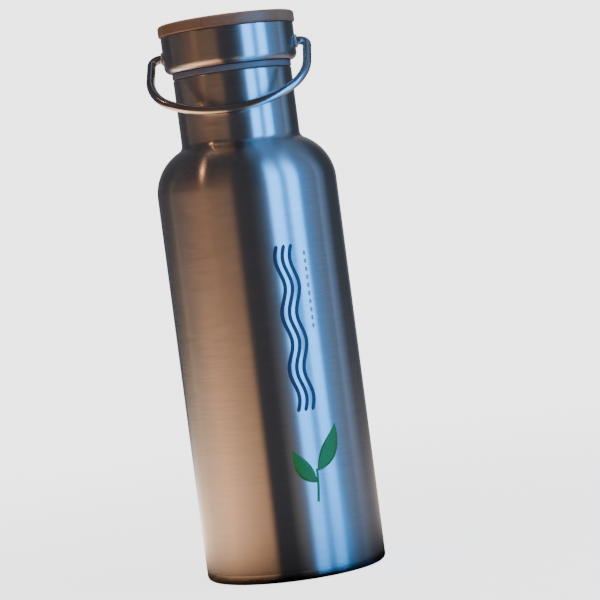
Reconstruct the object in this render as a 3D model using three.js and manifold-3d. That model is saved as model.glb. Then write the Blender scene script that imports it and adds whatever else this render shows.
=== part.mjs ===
// Double-wall steel bottle with a screw lid, a bamboo lid disc and a round-wire bail handle.
// Millimetres, +Z up. The origin is the centre of the base and the front is -Y.
// The lid is closed and the bail hangs forward, resting just clear of the neck.

import * as THREE from 'three';
import { mergeVertices } from 'three/addons/utils/BufferGeometryUtils.js';
import Module from 'manifold-3d';

const wasm = await Module();
wasm.setup();

// ---------------------------------------------------------------- driving dimensions

// Outer shell
const BODY_RADIUS = 36.5;
const STRAIGHT_HEIGHT = 156; // base to the start of the shoulder
const SHOULDER_RADIUS = 20;
const NECK_FILLET = 3;
const NECK_RADIUS = 24.1;
const NECK_LENGTH = 26.3; // straight neck between the fillet and the lip
const SHELL_WALL = 0.6;
const LIP_WIDTH = 1.7; // how far the rolled lip turns in from the neck's outside
const LIP_ROUND = 0.7;

// Bottom cup of the outer shell
const BASE_EDGE_RADIUS = 3.5;
const STANDING_RING_WIDTH = 4;
const RECESS_HEIGHT = 2.2;
const RECESS_SLOPE = 2; // radial run of the step between ring and recess
const BOTTOM_LAP = 5; // how far the cup's collar reaches up inside the shell
const COVER_RADIUS = 12.6;
const COVER_THICKNESS = 0.65;
const COVER_POCKET_DEPTH = 1.2;
const PORT_RADIUS = 1.7; // hole through which the space between the walls is evacuated

// Liner, the inner wall that holds the drink
const VACUUM_GAP = 2.6;
const NECK_VACUUM_GAP = 1.3;
const LINER_WALL = 0.5;
const LINER_FILLET = 4;
const LINER_FLOOR_HEIGHT = 7.9; // underside of the liner's floor above the table
const LINER_FLOOR_RADIUS = 4;

// Getter that keeps the vacuum, under the liner's floor
const GETTER_OFFSET = 18;
const GETTER_RADIUS = 4.4;
const GETTER_HEIGHT = 1.65;
const GETTER_WALL = 0.4;
const GETTER_LIP = 1;

// Two-start right-hand screw thread, with round ridges
const THREAD_STARTS = 2;
const THREAD_PITCH = 4; // axial distance between neighbouring ridges
const THREAD_TURNS = 1;
const RIDGE_RADIUS = 1.1;
const RIDGE_CLEARANCE = 0.36;
const THREAD_BELOW_LIP = 2.2;
const PLUG_FOOT = 2.2; // plug below the first ridge

// Lid
const LID_OVERHANG = 2.9; // lid shell beyond the neck
const LID_HEIGHT = 14.8;
const LID_WALL = 0.6;
const LID_CURL_RADIUS = 2.8;
const LID_CURL_ANGLE = 80;
const GASKET_HEIGHT = 2.7;
const GASKET_ROUND = 0.5;
const GASKET_BULGE = 0.1; // gasket beyond the neck
const PLUG_WALL = 2.6;
const PLUG_FLOOR = 3;
const PLUG_EDGE = 1;
const PLATE_THICKNESS = 0.6;
const PLATE_INSET = 0.5;
const DISC_OVERHANG = 0.8; // bamboo disc beyond the lid shell
const DISC_THICKNESS = 4.7;
const DISC_TOP_ROUND = 1.3;
const DISC_BOTTOM_ROUND = 0.8;

// Bail handle and its bushes
const WIRE_RADIUS = 1.75;
const PIVOT_BELOW_LID_TOP = 7.9;
const PIN_DEPTH = 5; // wire end inside the lid's side
const SOCKET_DEPTH = 5.8;
const BAIL_SIDE_GAP = 3.2; // between a leg and the lid's side
const BAIL_SWING_GAP = 3.7; // between the wire and the disc's edge as the bail swings over
const BAIL_REST_GAP = 0.3; // between the wire and the neck where the bail rests
const BAIL_BOW_HEIGHT = 23.4; // from the end of the straight legs to the middle of the bow
const BAIL_CORNER_RADIUS = 19.8;
const BAIL_END_BEND = 3.5;
const BUSH_BORE_GAP = 0.1;
const BUSH_WALL = 0.4;
const BUSH_FLANGE_LIP = 0.25; // flange beyond the pivot hole
const BUSH_FLANGE_THICKNESS = 0.8;

// Clearances between pieces
const SEAT_GAP = 0.1; // faces that are pressed or welded together
const FIT_GAP = 0.2; // pieces bonded inside one another
const LOOSE_GAP = 0.3;

// Facets
const AROUND = 36;
const AROUND_SMALL = 18;
const WIRE_SIDES = 10;
const WIRE_STEPS = 76;
const RIDGE_SIDES = 6;
const RIDGE_STEPS = 24;

// ---------------------------------------------------------------- derived sizes

const lidRadius = NECK_RADIUS + LID_OVERHANG;
const shoulderCentreR = BODY_RADIUS - SHOULDER_RADIUS;
const neckStartZ = STRAIGHT_HEIGHT + filletRise(SHOULDER_RADIUS, NECK_RADIUS, NECK_FILLET);
const lipZ = neckStartZ + NECK_LENGTH;

const linerOuterR = BODY_RADIUS - SHELL_WALL - VACUUM_GAP;
const linerInnerR = linerOuterR - LINER_WALL;
const linerNeckOuterR = NECK_RADIUS - SHELL_WALL - NECK_VACUUM_GAP;
const mouthRadius = linerNeckOuterR - LINER_WALL;

const threadLead = THREAD_STARTS * THREAD_PITCH;
const linerThreadZ = lipZ - THREAD_BELOW_LIP - threadLead * THREAD_TURNS;
const plugThreadZ = linerThreadZ - THREAD_PITCH / 2;
const ridgeSpacing = 2 * RIDGE_RADIUS + RIDGE_CLEARANCE;
const ridgeSideStep = Math.sqrt(Math.max(0, ridgeSpacing ** 2 - (THREAD_PITCH / 2) ** 2));
const plugRadius = mouthRadius - Math.max(ridgeSideStep, RIDGE_RADIUS + RIDGE_CLEARANCE);
const plugBottomZ = plugThreadZ - PLUG_FOOT;

const lidBottomZ = lipZ + GASKET_HEIGHT;
const lidTopZ = lidBottomZ + LID_HEIGHT;
const discRadius = lidRadius + DISC_OVERHANG;
const discTopZ = lidTopZ + SEAT_GAP + DISC_THICKNESS;

const pivotZ = lidTopZ - PIVOT_BELOW_LID_TOP;
const bushBore = WIRE_RADIUS + BUSH_BORE_GAP;
const bushRadius = bushBore + BUSH_WALL;
const socketRadius = bushRadius + FIT_GAP;
const bushFlangeRadius = socketRadius + BUSH_FLANGE_LIP;
const bailHalfWidth = lidRadius + BAIL_SIDE_GAP + WIRE_RADIUS;
const discCorner = Math.hypot(discRadius, discTopZ - pivotZ);
const bailReach = discCorner + BAIL_SWING_GAP + WIRE_RADIUS;
const bailRestAngle = Math.asin((NECK_RADIUS + BAIL_REST_GAP + WIRE_RADIUS) / bailReach);

const recessInnerR = BODY_RADIUS - BASE_EDGE_RADIUS - STANDING_RING_WIDTH;
const coverPocketR = COVER_RADIUS + LOOSE_GAP;
const pocketZ = RECESS_HEIGHT + COVER_POCKET_DEPTH;

// ---------------------------------------------------------------- materials

function finish(color, roughness, metalness = 0) {
  return () => new THREE.MeshStandardMaterial({ color, roughness, metalness });
}

const brushedSteel = finish(0xb4b6ba, 0.32, 1);
const plainSteel = finish(0x9fa1a5, 0.45, 1);
const wireSteel = finish(0xa9abb0, 0.25, 1);
const bamboo = finish(0xcda878, 0.7);
const silicone = finish(0x9c9d9d, 0.6);
const plugPlastic = finish(0x8d9094, 0.5);
const bushPlastic = finish(0xb9bcc0, 0.4);
const foam = finish(0xe6ddc2, 0.9);
const getterMetal = finish(0x5a5a5e, 0.8, 0.6);
const sealGlass = finish(0x3d4a3f, 0.2);

// ---------------------------------------------------------------- geometry helpers

// Height from the shoulder's centre to the centre of the fillet that joins it to the neck.
// The fillet touches the neck's wall and the shoulder's arc, so its centre is known from both.
function filletRise(shoulderRadius, neckRadius, fillet) {
  const sideways = neckRadius + fillet - (BODY_RADIUS - SHOULDER_RADIUS);
  return Math.sqrt((shoulderRadius + fillet) ** 2 - sideways ** 2);
}

// Points on an arc in the (radius, height) plane, both ends included. Angles are in degrees.
function arc(centreR, centreZ, radius, fromDegrees, toDegrees, steps) {
  const points = [];
  for (let i = 0; i <= steps; i++) {
    const angle = THREE.MathUtils.degToRad(THREE.MathUtils.lerp(fromDegrees, toDegrees, i / steps));
    points.push(point(centreR + radius * Math.cos(angle), centreZ + radius * Math.sin(angle)));
  }
  return points;
}

function point(radius, height) {
  return new THREE.Vector2(radius, height);
}

// A solid of revolution about +Z. A profile that doesn't start and end on the axis is closed.
function revolve(profile, segments = AROUND) {
  const points = profile.map((p) => p.clone());
  if (THREE.ShapeUtils.isClockWise(points)) points.reverse();
  const onAxis = points[0].x === 0 && points.at(-1).x === 0;
  if (!onAxis) points.push(points[0].clone());
  return new THREE.LatheGeometry(points, segments).rotateX(Math.PI / 2);
}

// A closed triangle mesh as a manifold solid.
function toSolid(geometry) {
  const bare = geometry.clone();
  bare.deleteAttribute('normal');
  bare.deleteAttribute('uv');
  const merged = mergeVertices(bare, 1e-4);
  const corners = Array.from(merged.index.array);
  const faces = [];
  for (let i = 0; i < corners.length; i += 3) {
    const [a, b, c] = corners.slice(i, i + 3);
    if (a !== b && b !== c && c !== a) faces.push(a, b, c);
  }
  return new wasm.Manifold(new wasm.Mesh({
    numProp: 3,
    vertProperties: new Float32Array(merged.attributes.position.array),
    triVerts: new Uint32Array(faces),
  }));
}

// A manifold solid as a geometry for a mesh.
function toGeometry(solid) {
  const { vertProperties, triVerts } = solid.getMesh();
  const geometry = new THREE.BufferGeometry();
  geometry.setAttribute('position', new THREE.BufferAttribute(new Float32Array(vertProperties), 3));
  geometry.setIndex(new THREE.BufferAttribute(new Uint32Array(triVerts), 1));
  geometry.computeVertexNormals();
  return geometry;
}

// A rod along X from one place to another at the bail's pivot height.
function pivotRod(radius, fromX, toX) {
  return new THREE.CylinderGeometry(radius, radius, toX - fromX, AROUND_SMALL)
    .rotateZ(Math.PI / 2)
    .translate((fromX + toX) / 2, 0, pivotZ);
}

// A round bar swept along a curve.
function sweepRound(radius, sides, path, steps) {
  const section = new THREE.Shape().absarc(0, 0, radius, 0, 2 * Math.PI);
  return new THREE.ExtrudeGeometry(section, {
    curveSegments: sides / 2,
    steps,
    bevelEnabled: false,
    extrudePath: path,
  });
}

class Helix extends THREE.Curve {
  constructor(radius, lead, startZ, startAngle, turns) {
    super();
    Object.assign(this, { radius, lead, startZ, startAngle, turns });
  }

  getPoint(t, target = new THREE.Vector3()) {
    const turned = t * this.turns;
    const angle = this.startAngle + turned * 2 * Math.PI;
    const height = this.startZ + turned * this.lead;
    return target.set(this.radius * Math.cos(angle), this.radius * Math.sin(angle), height);
  }
}

// The ridges of a multi-start thread as solids, spread evenly round the axis.
function threadRidges(radius, startZ) {
  return Array.from({ length: THREAD_STARTS }, (_, start) => {
    const startAngle = start * 2 * Math.PI / THREAD_STARTS;
    const path = new Helix(radius, threadLead, startZ, startAngle, THREAD_TURNS);
    return toSolid(sweepRound(RIDGE_RADIUS, RIDGE_SIDES, path, RIDGE_STEPS * THREAD_TURNS));
  });
}

const group = new THREE.Group();

function addPiece(name, geometry, material, parent = group) {
  const mesh = new THREE.Mesh(geometry, material);
  mesh.name = name;
  parent.add(mesh);
  return mesh;
}

// ---------------------------------------------------------------- bottle

// One side of the bottle's wall from the bottom up to the neck's end: wall, shoulder, fillet, neck.
function wallSide(bodyRadius, neckRadius, fillet, bottomZ, topZ) {
  const shoulderRadius = bodyRadius - shoulderCentreR;
  const rise = filletRise(shoulderRadius, neckRadius, fillet);
  const sideways = neckRadius + fillet - shoulderCentreR;
  const meet = THREE.MathUtils.radToDeg(Math.atan2(rise, sideways));
  return [
    point(bodyRadius, bottomZ),
    ...arc(shoulderCentreR, STRAIGHT_HEIGHT, shoulderRadius, 0, meet, 7),
    ...arc(neckRadius + fillet, STRAIGHT_HEIGHT + rise, fillet, 180 + meet, 180, 4).slice(1),
    point(neckRadius, topZ),
  ];
}

// Outer shell: spun steel wall whose top rolls inwards as the lip that the gasket seals on.
function outerShell() {
  const bottomZ = BASE_EDGE_RADIUS + 2 * FIT_GAP;
  const innerLipR = NECK_RADIUS - LIP_WIDTH;
  const innerNeckR = NECK_RADIUS - SHELL_WALL;
  const outside = wallSide(BODY_RADIUS, NECK_RADIUS, NECK_FILLET, bottomZ, lipZ - LIP_ROUND);
  const inside = wallSide(
    BODY_RADIUS - SHELL_WALL, innerNeckR, NECK_FILLET + SHELL_WALL, bottomZ, lipZ - 2 * LIP_ROUND,
  );
  return revolve([
    ...outside,
    ...arc(NECK_RADIUS - LIP_ROUND, lipZ - LIP_ROUND, LIP_ROUND, 0, 90, 3).slice(1),
    point(innerLipR, lipZ),
    point(innerLipR, lipZ - 2 * LIP_ROUND),
    ...inside.reverse(),
  ]);
}

// Bottom cup: rounded edge, flat standing ring, recess, and a pocket for the cover disc.
function outerBottom() {
  const edgeR = BODY_RADIUS - BASE_EDGE_RADIUS;
  const collarR = BODY_RADIUS - SHELL_WALL - LOOSE_GAP;
  const collarTopZ = BASE_EDGE_RADIUS + BOTTOM_LAP;
  const innerEdge = collarR - SHELL_WALL - edgeR;
  const wall = SHELL_WALL;
  return revolve([
    point(collarR, collarTopZ),
    point(collarR, BASE_EDGE_RADIUS + FIT_GAP),
    point(BODY_RADIUS, BASE_EDGE_RADIUS + FIT_GAP),
    ...arc(edgeR, BASE_EDGE_RADIUS, BASE_EDGE_RADIUS, 0, -90, 5),
    point(recessInnerR, 0),
    point(recessInnerR - RECESS_SLOPE, RECESS_HEIGHT),
    point(coverPocketR, RECESS_HEIGHT),
    point(coverPocketR, pocketZ),
    point(PORT_RADIUS, pocketZ),
    point(PORT_RADIUS, pocketZ + wall),
    point(coverPocketR + wall, pocketZ + wall),
    point(coverPocketR + wall, RECESS_HEIGHT + wall),
    point(recessInnerR - RECESS_SLOPE + wall / 2, RECESS_HEIGHT + wall),
    point(recessInnerR + wall / 2, wall),
    ...arc(edgeR, wall + innerEdge, innerEdge, -90, 0, 3),
    point(collarR - SHELL_WALL, collarTopZ),
  ]);
}

// Cover disc that hides the evacuation port, bonded into its pocket.
function baseCover() {
  const bottomZ = RECESS_HEIGHT + FIT_GAP;
  const edge = COVER_THICKNESS / 3;
  return revolve([
    point(0, bottomZ),
    point(COVER_RADIUS - edge, bottomZ),
    point(COVER_RADIUS, bottomZ + edge),
    point(COVER_RADIUS, bottomZ + COVER_THICKNESS),
    point(0, bottomZ + COVER_THICKNESS),
  ], AROUND);
}

// Bead of sealing glass melted into the evacuation port.
function portSealBead() {
  const beadRadius = PORT_RADIUS - FIT_GAP;
  const bottomZ = RECESS_HEIGHT + FIT_GAP + COVER_THICKNESS + FIT_GAP;
  const topZ = pocketZ + 2 * SHELL_WALL;
  return revolve([
    point(0, bottomZ),
    point(beadRadius * 0.8, bottomZ),
    point(beadRadius, bottomZ + FIT_GAP),
    point(beadRadius, topZ - LOOSE_GAP),
    point(beadRadius * 0.7, topZ),
    point(0, topZ),
  ], AROUND_SMALL);
}

// Liner wall with the screw thread rolled into its neck.
function innerFlask() {
  const bottomZ = LINER_FLOOR_HEIGHT + LINER_FLOOR_RADIUS + SEAT_GAP;
  const topZ = lipZ - SEAT_GAP;
  const outside = wallSide(linerOuterR, linerNeckOuterR, LINER_FILLET, bottomZ, topZ);
  const inside = wallSide(linerInnerR, mouthRadius, LINER_FILLET + LINER_WALL, bottomZ, topZ);
  const wall = toSolid(revolve([...outside, ...inside.reverse()]));
  const neckHeight = topZ - neckStartZ;
  const withinWall = toSolid(
    new THREE.CylinderGeometry(linerNeckOuterR - SEAT_GAP, linerNeckOuterR - SEAT_GAP, neckHeight, AROUND)
      .rotateX(Math.PI / 2)
      .translate(0, 0, neckStartZ + neckHeight / 2),
  );
  const threaded = threadRidges(mouthRadius, linerThreadZ)
    .reduce((solid, ridge) => solid.add(ridge.intersect(withinWall)), wall);
  return toGeometry(threaded);
}

// Dished floor welded under the liner wall.
function innerBottom() {
  const outerEdgeR = linerOuterR - LINER_FLOOR_RADIUS;
  const edgeZ = LINER_FLOOR_HEIGHT + LINER_FLOOR_RADIUS;
  return revolve([
    point(0, LINER_FLOOR_HEIGHT),
    ...arc(outerEdgeR, edgeZ, LINER_FLOOR_RADIUS, -90, 0, 5),
    ...arc(outerEdgeR, edgeZ, LINER_FLOOR_RADIUS - LINER_WALL, 0, -90, 5),
    point(0, LINER_FLOOR_HEIGHT + LINER_WALL),
  ]);
}

// Ring clip that holds the getter under the liner's floor.
function getterHolder() {
  const outerR = GETTER_RADIUS + FIT_GAP + GETTER_WALL;
  const topZ = LINER_FLOOR_HEIGHT - SEAT_GAP;
  const bottomZ = topZ - GETTER_HEIGHT - 2 * FIT_GAP - GETTER_WALL;
  return revolve([
    point(outerR, topZ),
    point(outerR, bottomZ),
    point(outerR - GETTER_LIP, bottomZ),
    point(outerR - GETTER_LIP, bottomZ + GETTER_WALL),
    point(outerR - GETTER_WALL, bottomZ + GETTER_WALL),
    point(outerR - GETTER_WALL, topZ),
  ], AROUND_SMALL);
}

// Pressed tablet of gas-absorbing metal powder.
function getterPellet() {
  const topZ = LINER_FLOOR_HEIGHT - SEAT_GAP - FIT_GAP;
  return revolve([
    point(0, topZ - GETTER_HEIGHT),
    point(GETTER_RADIUS, topZ - GETTER_HEIGHT),
    point(GETTER_RADIUS, topZ),
    point(0, topZ),
  ], AROUND_SMALL);
}

addPiece('outer_shell', outerShell(), brushedSteel());
addPiece('outer_bottom', outerBottom(), brushedSteel());
addPiece('base_cover', baseCover(), plainSteel());
addPiece('port_seal_bead', portSealBead(), sealGlass());
addPiece('inner_flask', innerFlask(), plainSteel());
addPiece('inner_bottom', innerBottom(), plainSteel());
addPiece('getter_holder', getterHolder(), plainSteel()).position.x = GETTER_OFFSET;
addPiece('getter_pellet', getterPellet(), getterMetal()).position.x = GETTER_OFFSET;

// ---------------------------------------------------------------- lid

// Silicone ring between the bottle's lip and the plug's flange.
function gasket() {
  const innerR = plugRadius + 2 * FIT_GAP;
  const outerR = NECK_RADIUS + GASKET_BULGE;
  const bottomZ = lipZ + SEAT_GAP;
  const topZ = lipZ + GASKET_HEIGHT;
  return revolve([
    point(innerR, topZ),
    point(innerR, bottomZ),
    ...arc(outerR - GASKET_ROUND, bottomZ + GASKET_ROUND, GASKET_ROUND, -90, 0, 2),
    ...arc(outerR - GASKET_ROUND, topZ - GASKET_ROUND, GASKET_ROUND, 0, 90, 2),
  ]);
}

// Lid shell: a drawn steel cup, upside down, with its rim curled in and a hole at each pivot.
function lidShell() {
  const curlR = lidRadius - LID_CURL_RADIUS;
  const curlZ = lidBottomZ + LID_CURL_RADIUS;
  const shell = revolve([
    point(0, lidTopZ),
    point(lidRadius, lidTopZ),
    ...arc(curlR, curlZ, LID_CURL_RADIUS, 0, -LID_CURL_ANGLE, 5),
    ...arc(curlR, curlZ, LID_CURL_RADIUS - LID_WALL, -LID_CURL_ANGLE, 0, 4),
    point(lidRadius - LID_WALL, lidTopZ - LID_WALL),
    point(0, lidTopZ - LID_WALL),
  ]);
  const holes = pivotRod(socketRadius, -lidRadius - LID_OVERHANG, lidRadius + LID_OVERHANG);
  return toGeometry(toSolid(shell).subtract(toSolid(holes)));
}

// Plug: moulded core with a flange inside the lid shell, a male thread, a foam pocket and sockets.
function lidCore() {
  const curlR = lidRadius - LID_CURL_RADIUS;
  const curlZ = lidBottomZ + LID_CURL_RADIUS;
  const flangeCurl = LID_CURL_RADIUS - LID_WALL - FIT_GAP;
  const topZ = lidTopZ - LID_WALL - FIT_GAP;
  const pocketR = plugRadius - PLUG_WALL;
  const core = toSolid(revolve([
    point(0, plugBottomZ),
    ...arc(plugRadius - PLUG_EDGE, plugBottomZ + PLUG_EDGE, PLUG_EDGE, -90, 0, 2),
    point(plugRadius, lidBottomZ + SEAT_GAP),
    point(curlR, lidBottomZ + SEAT_GAP),
    ...arc(curlR, curlZ, flangeCurl, -90, 0, 3),
    point(curlR + flangeCurl, topZ),
    point(pocketR, topZ),
    point(pocketR, plugBottomZ + PLUG_FLOOR),
    point(0, plugBottomZ + PLUG_FLOOR),
  ]));
  const outsideX = lidRadius + LID_OVERHANG;
  const socketX = lidRadius - SOCKET_DEPTH;
  const threaded = threadRidges(plugRadius, plugThreadZ).reduce((solid, ridge) => solid.add(ridge), core);
  return toGeometry(threaded
    .subtract(toSolid(pivotRod(socketRadius, socketX, outsideX)))
    .subtract(toSolid(pivotRod(socketRadius, -outsideX, -socketX))));
}

// Insulating foam in the plug's pocket.
function foamInsert() {
  const radius = plugRadius - PLUG_WALL - LOOSE_GAP;
  const bottomZ = plugBottomZ + PLUG_FLOOR + LOOSE_GAP;
  const topZ = lidTopZ - LID_WALL - 2 * FIT_GAP;
  return revolve([point(0, bottomZ), point(radius, bottomZ), point(radius, topZ), point(0, topZ)]);
}

// Steel plate bonded to the underside of the plug.
function plugPlate() {
  const radius = plugRadius - PLATE_INSET;
  const topZ = plugBottomZ - SEAT_GAP;
  const bottomZ = topZ - PLATE_THICKNESS;
  return revolve([
    point(0, bottomZ),
    point(radius - PLATE_THICKNESS, bottomZ),
    point(radius, topZ - PLATE_THICKNESS / 2),
    point(radius, topZ),
    point(0, topZ),
  ]);
}

// Bamboo disc bonded on top of the lid shell, with a softened edge.
function bambooDisc() {
  const bottomZ = lidTopZ + SEAT_GAP;
  return revolve([
    point(0, bottomZ),
    ...arc(discRadius - DISC_BOTTOM_ROUND, bottomZ + DISC_BOTTOM_ROUND, DISC_BOTTOM_ROUND, -90, 0, 2),
    ...arc(discRadius - DISC_TOP_ROUND, discTopZ - DISC_TOP_ROUND, DISC_TOP_ROUND, 0, 90, 4),
    point(0, discTopZ),
  ]);
}

// Flanged bush that lines a pivot hole. side is +1 on the right and -1 on the left.
function bailBush(side) {
  const innerX = lidRadius - SOCKET_DEPTH + LOOSE_GAP;
  const faceX = lidRadius + SEAT_GAP;
  const ring = revolve([
    point(bushBore, innerX),
    point(bushRadius, innerX),
    point(bushRadius, faceX),
    point(bushFlangeRadius, faceX),
    point(bushFlangeRadius, faceX + BUSH_FLANGE_THICKNESS),
    point(bushBore, faceX + BUSH_FLANGE_THICKNESS),
  ], AROUND_SMALL);
  return ring.rotateY(side * Math.PI / 2).translate(0, 0, pivotZ);
}

addPiece('gasket', gasket(), silicone());
addPiece('lid_shell', lidShell(), brushedSteel());
addPiece('lid_core', lidCore(), plugPlastic());
addPiece('foam_insert', foamInsert(), foam());
addPiece('plug_plate', plugPlate(), plainSteel());
addPiece('bamboo_disc', bambooDisc(), bamboo());
addPiece('bail_bush_left', bailBush(-1), bushPlastic());
addPiece('bail_bush_right', bailBush(1), bushPlastic());

// ---------------------------------------------------------------- bail

// Centre line of the wire in its own plane: x across, -z away from the pivot axis.
// A pin, a small bend, a straight leg and a corner lead to a shallow bow, the same on each side.
function bailPath() {
  const legEnd = bailReach - BAIL_BOW_HEIGHT;
  const cornerX = bailHalfWidth - BAIL_CORNER_RADIUS;
  const bowRadius = (cornerX ** 2 + BAIL_BOW_HEIGHT ** 2 - BAIL_CORNER_RADIUS ** 2)
    / (2 * (BAIL_BOW_HEIGHT - BAIL_CORNER_RADIUS));
  const bowZ = bowRadius - bailReach;
  const cornerTurn = Math.atan2(legEnd + bowZ, cornerX);
  const pinX = lidRadius - PIN_DEPTH;
  const bendX = bailHalfWidth - BAIL_END_BEND;
  const flat = (x, z) => new THREE.Vector2(x, z);
  const round = (x, z, radius, from, to) => (
    new THREE.EllipseCurve(x, z, radius, radius, from, to, true)
  );
  const pieces = [
    new THREE.LineCurve(flat(pinX, 0), flat(bendX, 0)),
    round(bendX, -BAIL_END_BEND, BAIL_END_BEND, Math.PI / 2, 0),
    new THREE.LineCurve(flat(bailHalfWidth, -BAIL_END_BEND), flat(bailHalfWidth, -legEnd)),
    round(cornerX, -legEnd, BAIL_CORNER_RADIUS, 0, -cornerTurn),
    round(0, bowZ, bowRadius, -cornerTurn, cornerTurn - Math.PI),
    round(-cornerX, -legEnd, BAIL_CORNER_RADIUS, cornerTurn - Math.PI, -Math.PI),
    new THREE.LineCurve(flat(-bailHalfWidth, -legEnd), flat(-bailHalfWidth, -BAIL_END_BEND)),
    round(-bendX, -BAIL_END_BEND, BAIL_END_BEND, Math.PI, Math.PI / 2),
    new THREE.LineCurve(flat(-bendX, 0), flat(-pinX, 0)),
  ];
  const path = new THREE.CurvePath();
  pieces.forEach((piece) => path.add(piece));
  return path;
}

// The flat centre line lifted into space, so that a section can be swept along it.
class BailCentreLine extends THREE.Curve {
  constructor(path) {
    super();
    this.path = path;
  }

  getPoint(t, target = new THREE.Vector3()) {
    const { x, y } = this.path.getPointAt(t);
    return target.set(x, 0, y);
  }
}

const bailSwing = new THREE.Group();
bailSwing.position.z = pivotZ;
bailSwing.rotation.x = -bailRestAngle;
group.add(bailSwing);

addPiece(
  'bail_handle',
  sweepRound(WIRE_RADIUS, WIRE_SIDES, new BailCentreLine(bailPath()), WIRE_STEPS),
  wireSteel(),
  bailSwing,
);

export default group;
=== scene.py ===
"""Looks of a double-wall steel bottle with a screw lid, a bamboo disc and a wire bail.

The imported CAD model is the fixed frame. Every piece here is a surface worked out with numpy,
in the same place as the CAD node that it stands for. +Z is up and -Y is the front. Sizes in
this file are millimetres, and they turn to metres where a mesh is made.
"""

import logging
import math
from dataclasses import dataclass, field
from enum import Enum
from typing import Any, Callable, Iterable, Sequence

import bpy
import numpy as np
from mathutils import Matrix, Vector


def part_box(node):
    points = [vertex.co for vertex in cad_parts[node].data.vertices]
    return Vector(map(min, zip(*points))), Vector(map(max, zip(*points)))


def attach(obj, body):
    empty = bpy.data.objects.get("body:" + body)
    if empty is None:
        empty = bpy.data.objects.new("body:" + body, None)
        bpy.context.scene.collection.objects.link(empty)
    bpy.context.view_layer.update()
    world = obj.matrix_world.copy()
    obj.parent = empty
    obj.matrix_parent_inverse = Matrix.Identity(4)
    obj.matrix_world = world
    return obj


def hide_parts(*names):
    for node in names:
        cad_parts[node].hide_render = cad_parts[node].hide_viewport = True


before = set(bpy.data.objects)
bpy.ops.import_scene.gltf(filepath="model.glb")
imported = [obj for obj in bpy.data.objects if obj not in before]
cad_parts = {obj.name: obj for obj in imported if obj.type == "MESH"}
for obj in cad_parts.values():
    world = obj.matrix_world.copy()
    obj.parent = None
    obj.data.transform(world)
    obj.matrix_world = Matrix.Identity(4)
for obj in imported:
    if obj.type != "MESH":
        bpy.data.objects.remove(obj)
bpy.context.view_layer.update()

MM = 0.001
LARGE_ROUND = 144  # facets round a body-sized piece
SMALL_ROUND = 48  # facets round a bush-sized piece
SHEET_ROUND = 96  # facets round the floor and the table
LONGEST_STEP = 3.0  # longest stretch of an outline between two rings
CORNER_STEP_DEG = 9.0  # turn between two points of a rounded corner

log = logging.getLogger("bottle")

NOISE_SPAN = {"i1": 0.3, "i2": 0.7}  # Map Range inputs: most of a noise lies between these

Relief = Callable[[np.ndarray, np.ndarray, np.ndarray], np.ndarray]


# ---------------------------------------------------------------- frame sizes


@dataclass(frozen=True)
class Extent:
    """Box of a CAD node at rest, in millimetres."""

    low: tuple[float, float, float]
    high: tuple[float, float, float]

    @property
    def radius(self) -> float:
        """Half the box's width along X."""
        return (self.high[0] - self.low[0]) / 2

    @property
    def bottom(self) -> float:
        """Height of the lowest point."""
        return self.low[2]

    @property
    def top(self) -> float:
        """Height of the highest point."""
        return self.high[2]


def extent(node: str) -> Extent:
    """Reads a node's box from the frame.

    Args:
        node: name of the CAD node.

    Returns:
        The box in millimetres.
    """
    low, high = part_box(node)
    return Extent(tuple(v / MM for v in low), tuple(v / MM for v in high))


# ---------------------------------------------------------------- outlines


def arc(centre: tuple[float, float], radius: float, start_deg: float, end_deg: float) -> np.ndarray:
    """Points on a circle in the (radius, height) plane.

    Each point is the centre plus the radius times the cosine and sine of an angle that goes
    evenly from start to end.

    Args:
        centre: the circle's centre.
        radius: the circle's radius.
        start_deg: angle of the first point.
        end_deg: angle of the last point.

    Returns:
        An array of points, two columns.
    """
    count = max(3, int(abs(end_deg - start_deg) / 3.0) + 1)
    angle = np.radians(np.linspace(start_deg, end_deg, count))
    return np.column_stack([centre[0] + radius * np.cos(angle), centre[1] + radius * np.sin(angle)])


def rounded(corners: Sequence[tuple[float, float, float]], closed: bool) -> np.ndarray:
    """A polygon whose corners are rounded.

    A corner's arc touches both sides at radius over the tangent of half the corner's angle, and
    that distance is held to under half of the shorter side.

    Args:
        corners: (radius, height, rounding) of each corner, in order.
        closed: True if the last corner joins the first.

    Returns:
        The rounded outline's points.
    """
    points = np.array([c[:2] for c in corners], float)
    pieces = []
    for i, (_, _, rounding) in enumerate(corners):
        at_end = not closed and i in (0, len(corners) - 1)
        if at_end or rounding <= 0:
            pieces.append(points[i : i + 1])
            continue
        here = points[i]
        back = points[i - 1] - here
        ahead = points[(i + 1) % len(points)] - here
        room = 0.48 * min(np.linalg.norm(back), np.linalg.norm(ahead))
        back = back / np.linalg.norm(back)
        ahead = ahead / np.linalg.norm(ahead)
        half = math.acos(float(np.clip(back @ ahead, -1, 1))) / 2
        run = min(rounding / math.tan(half), room)
        radius = run * math.tan(half)
        middle = (back + ahead) / np.linalg.norm(back + ahead)
        centre = here + middle * radius / math.sin(half)
        first, last = here + back * run - centre, here + ahead * run - centre
        start = math.atan2(first[1], first[0])
        turn = math.remainder(math.atan2(last[1], last[0]) - start, 2 * math.pi)
        count = max(3, int(abs(math.degrees(turn)) / CORNER_STEP_DEG) + 2)
        angle = start + turn * np.linspace(0, 1, count)
        pieces.append(centre + radius * np.column_stack([np.cos(angle), np.sin(angle)]))
    return np.vstack(pieces)


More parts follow.
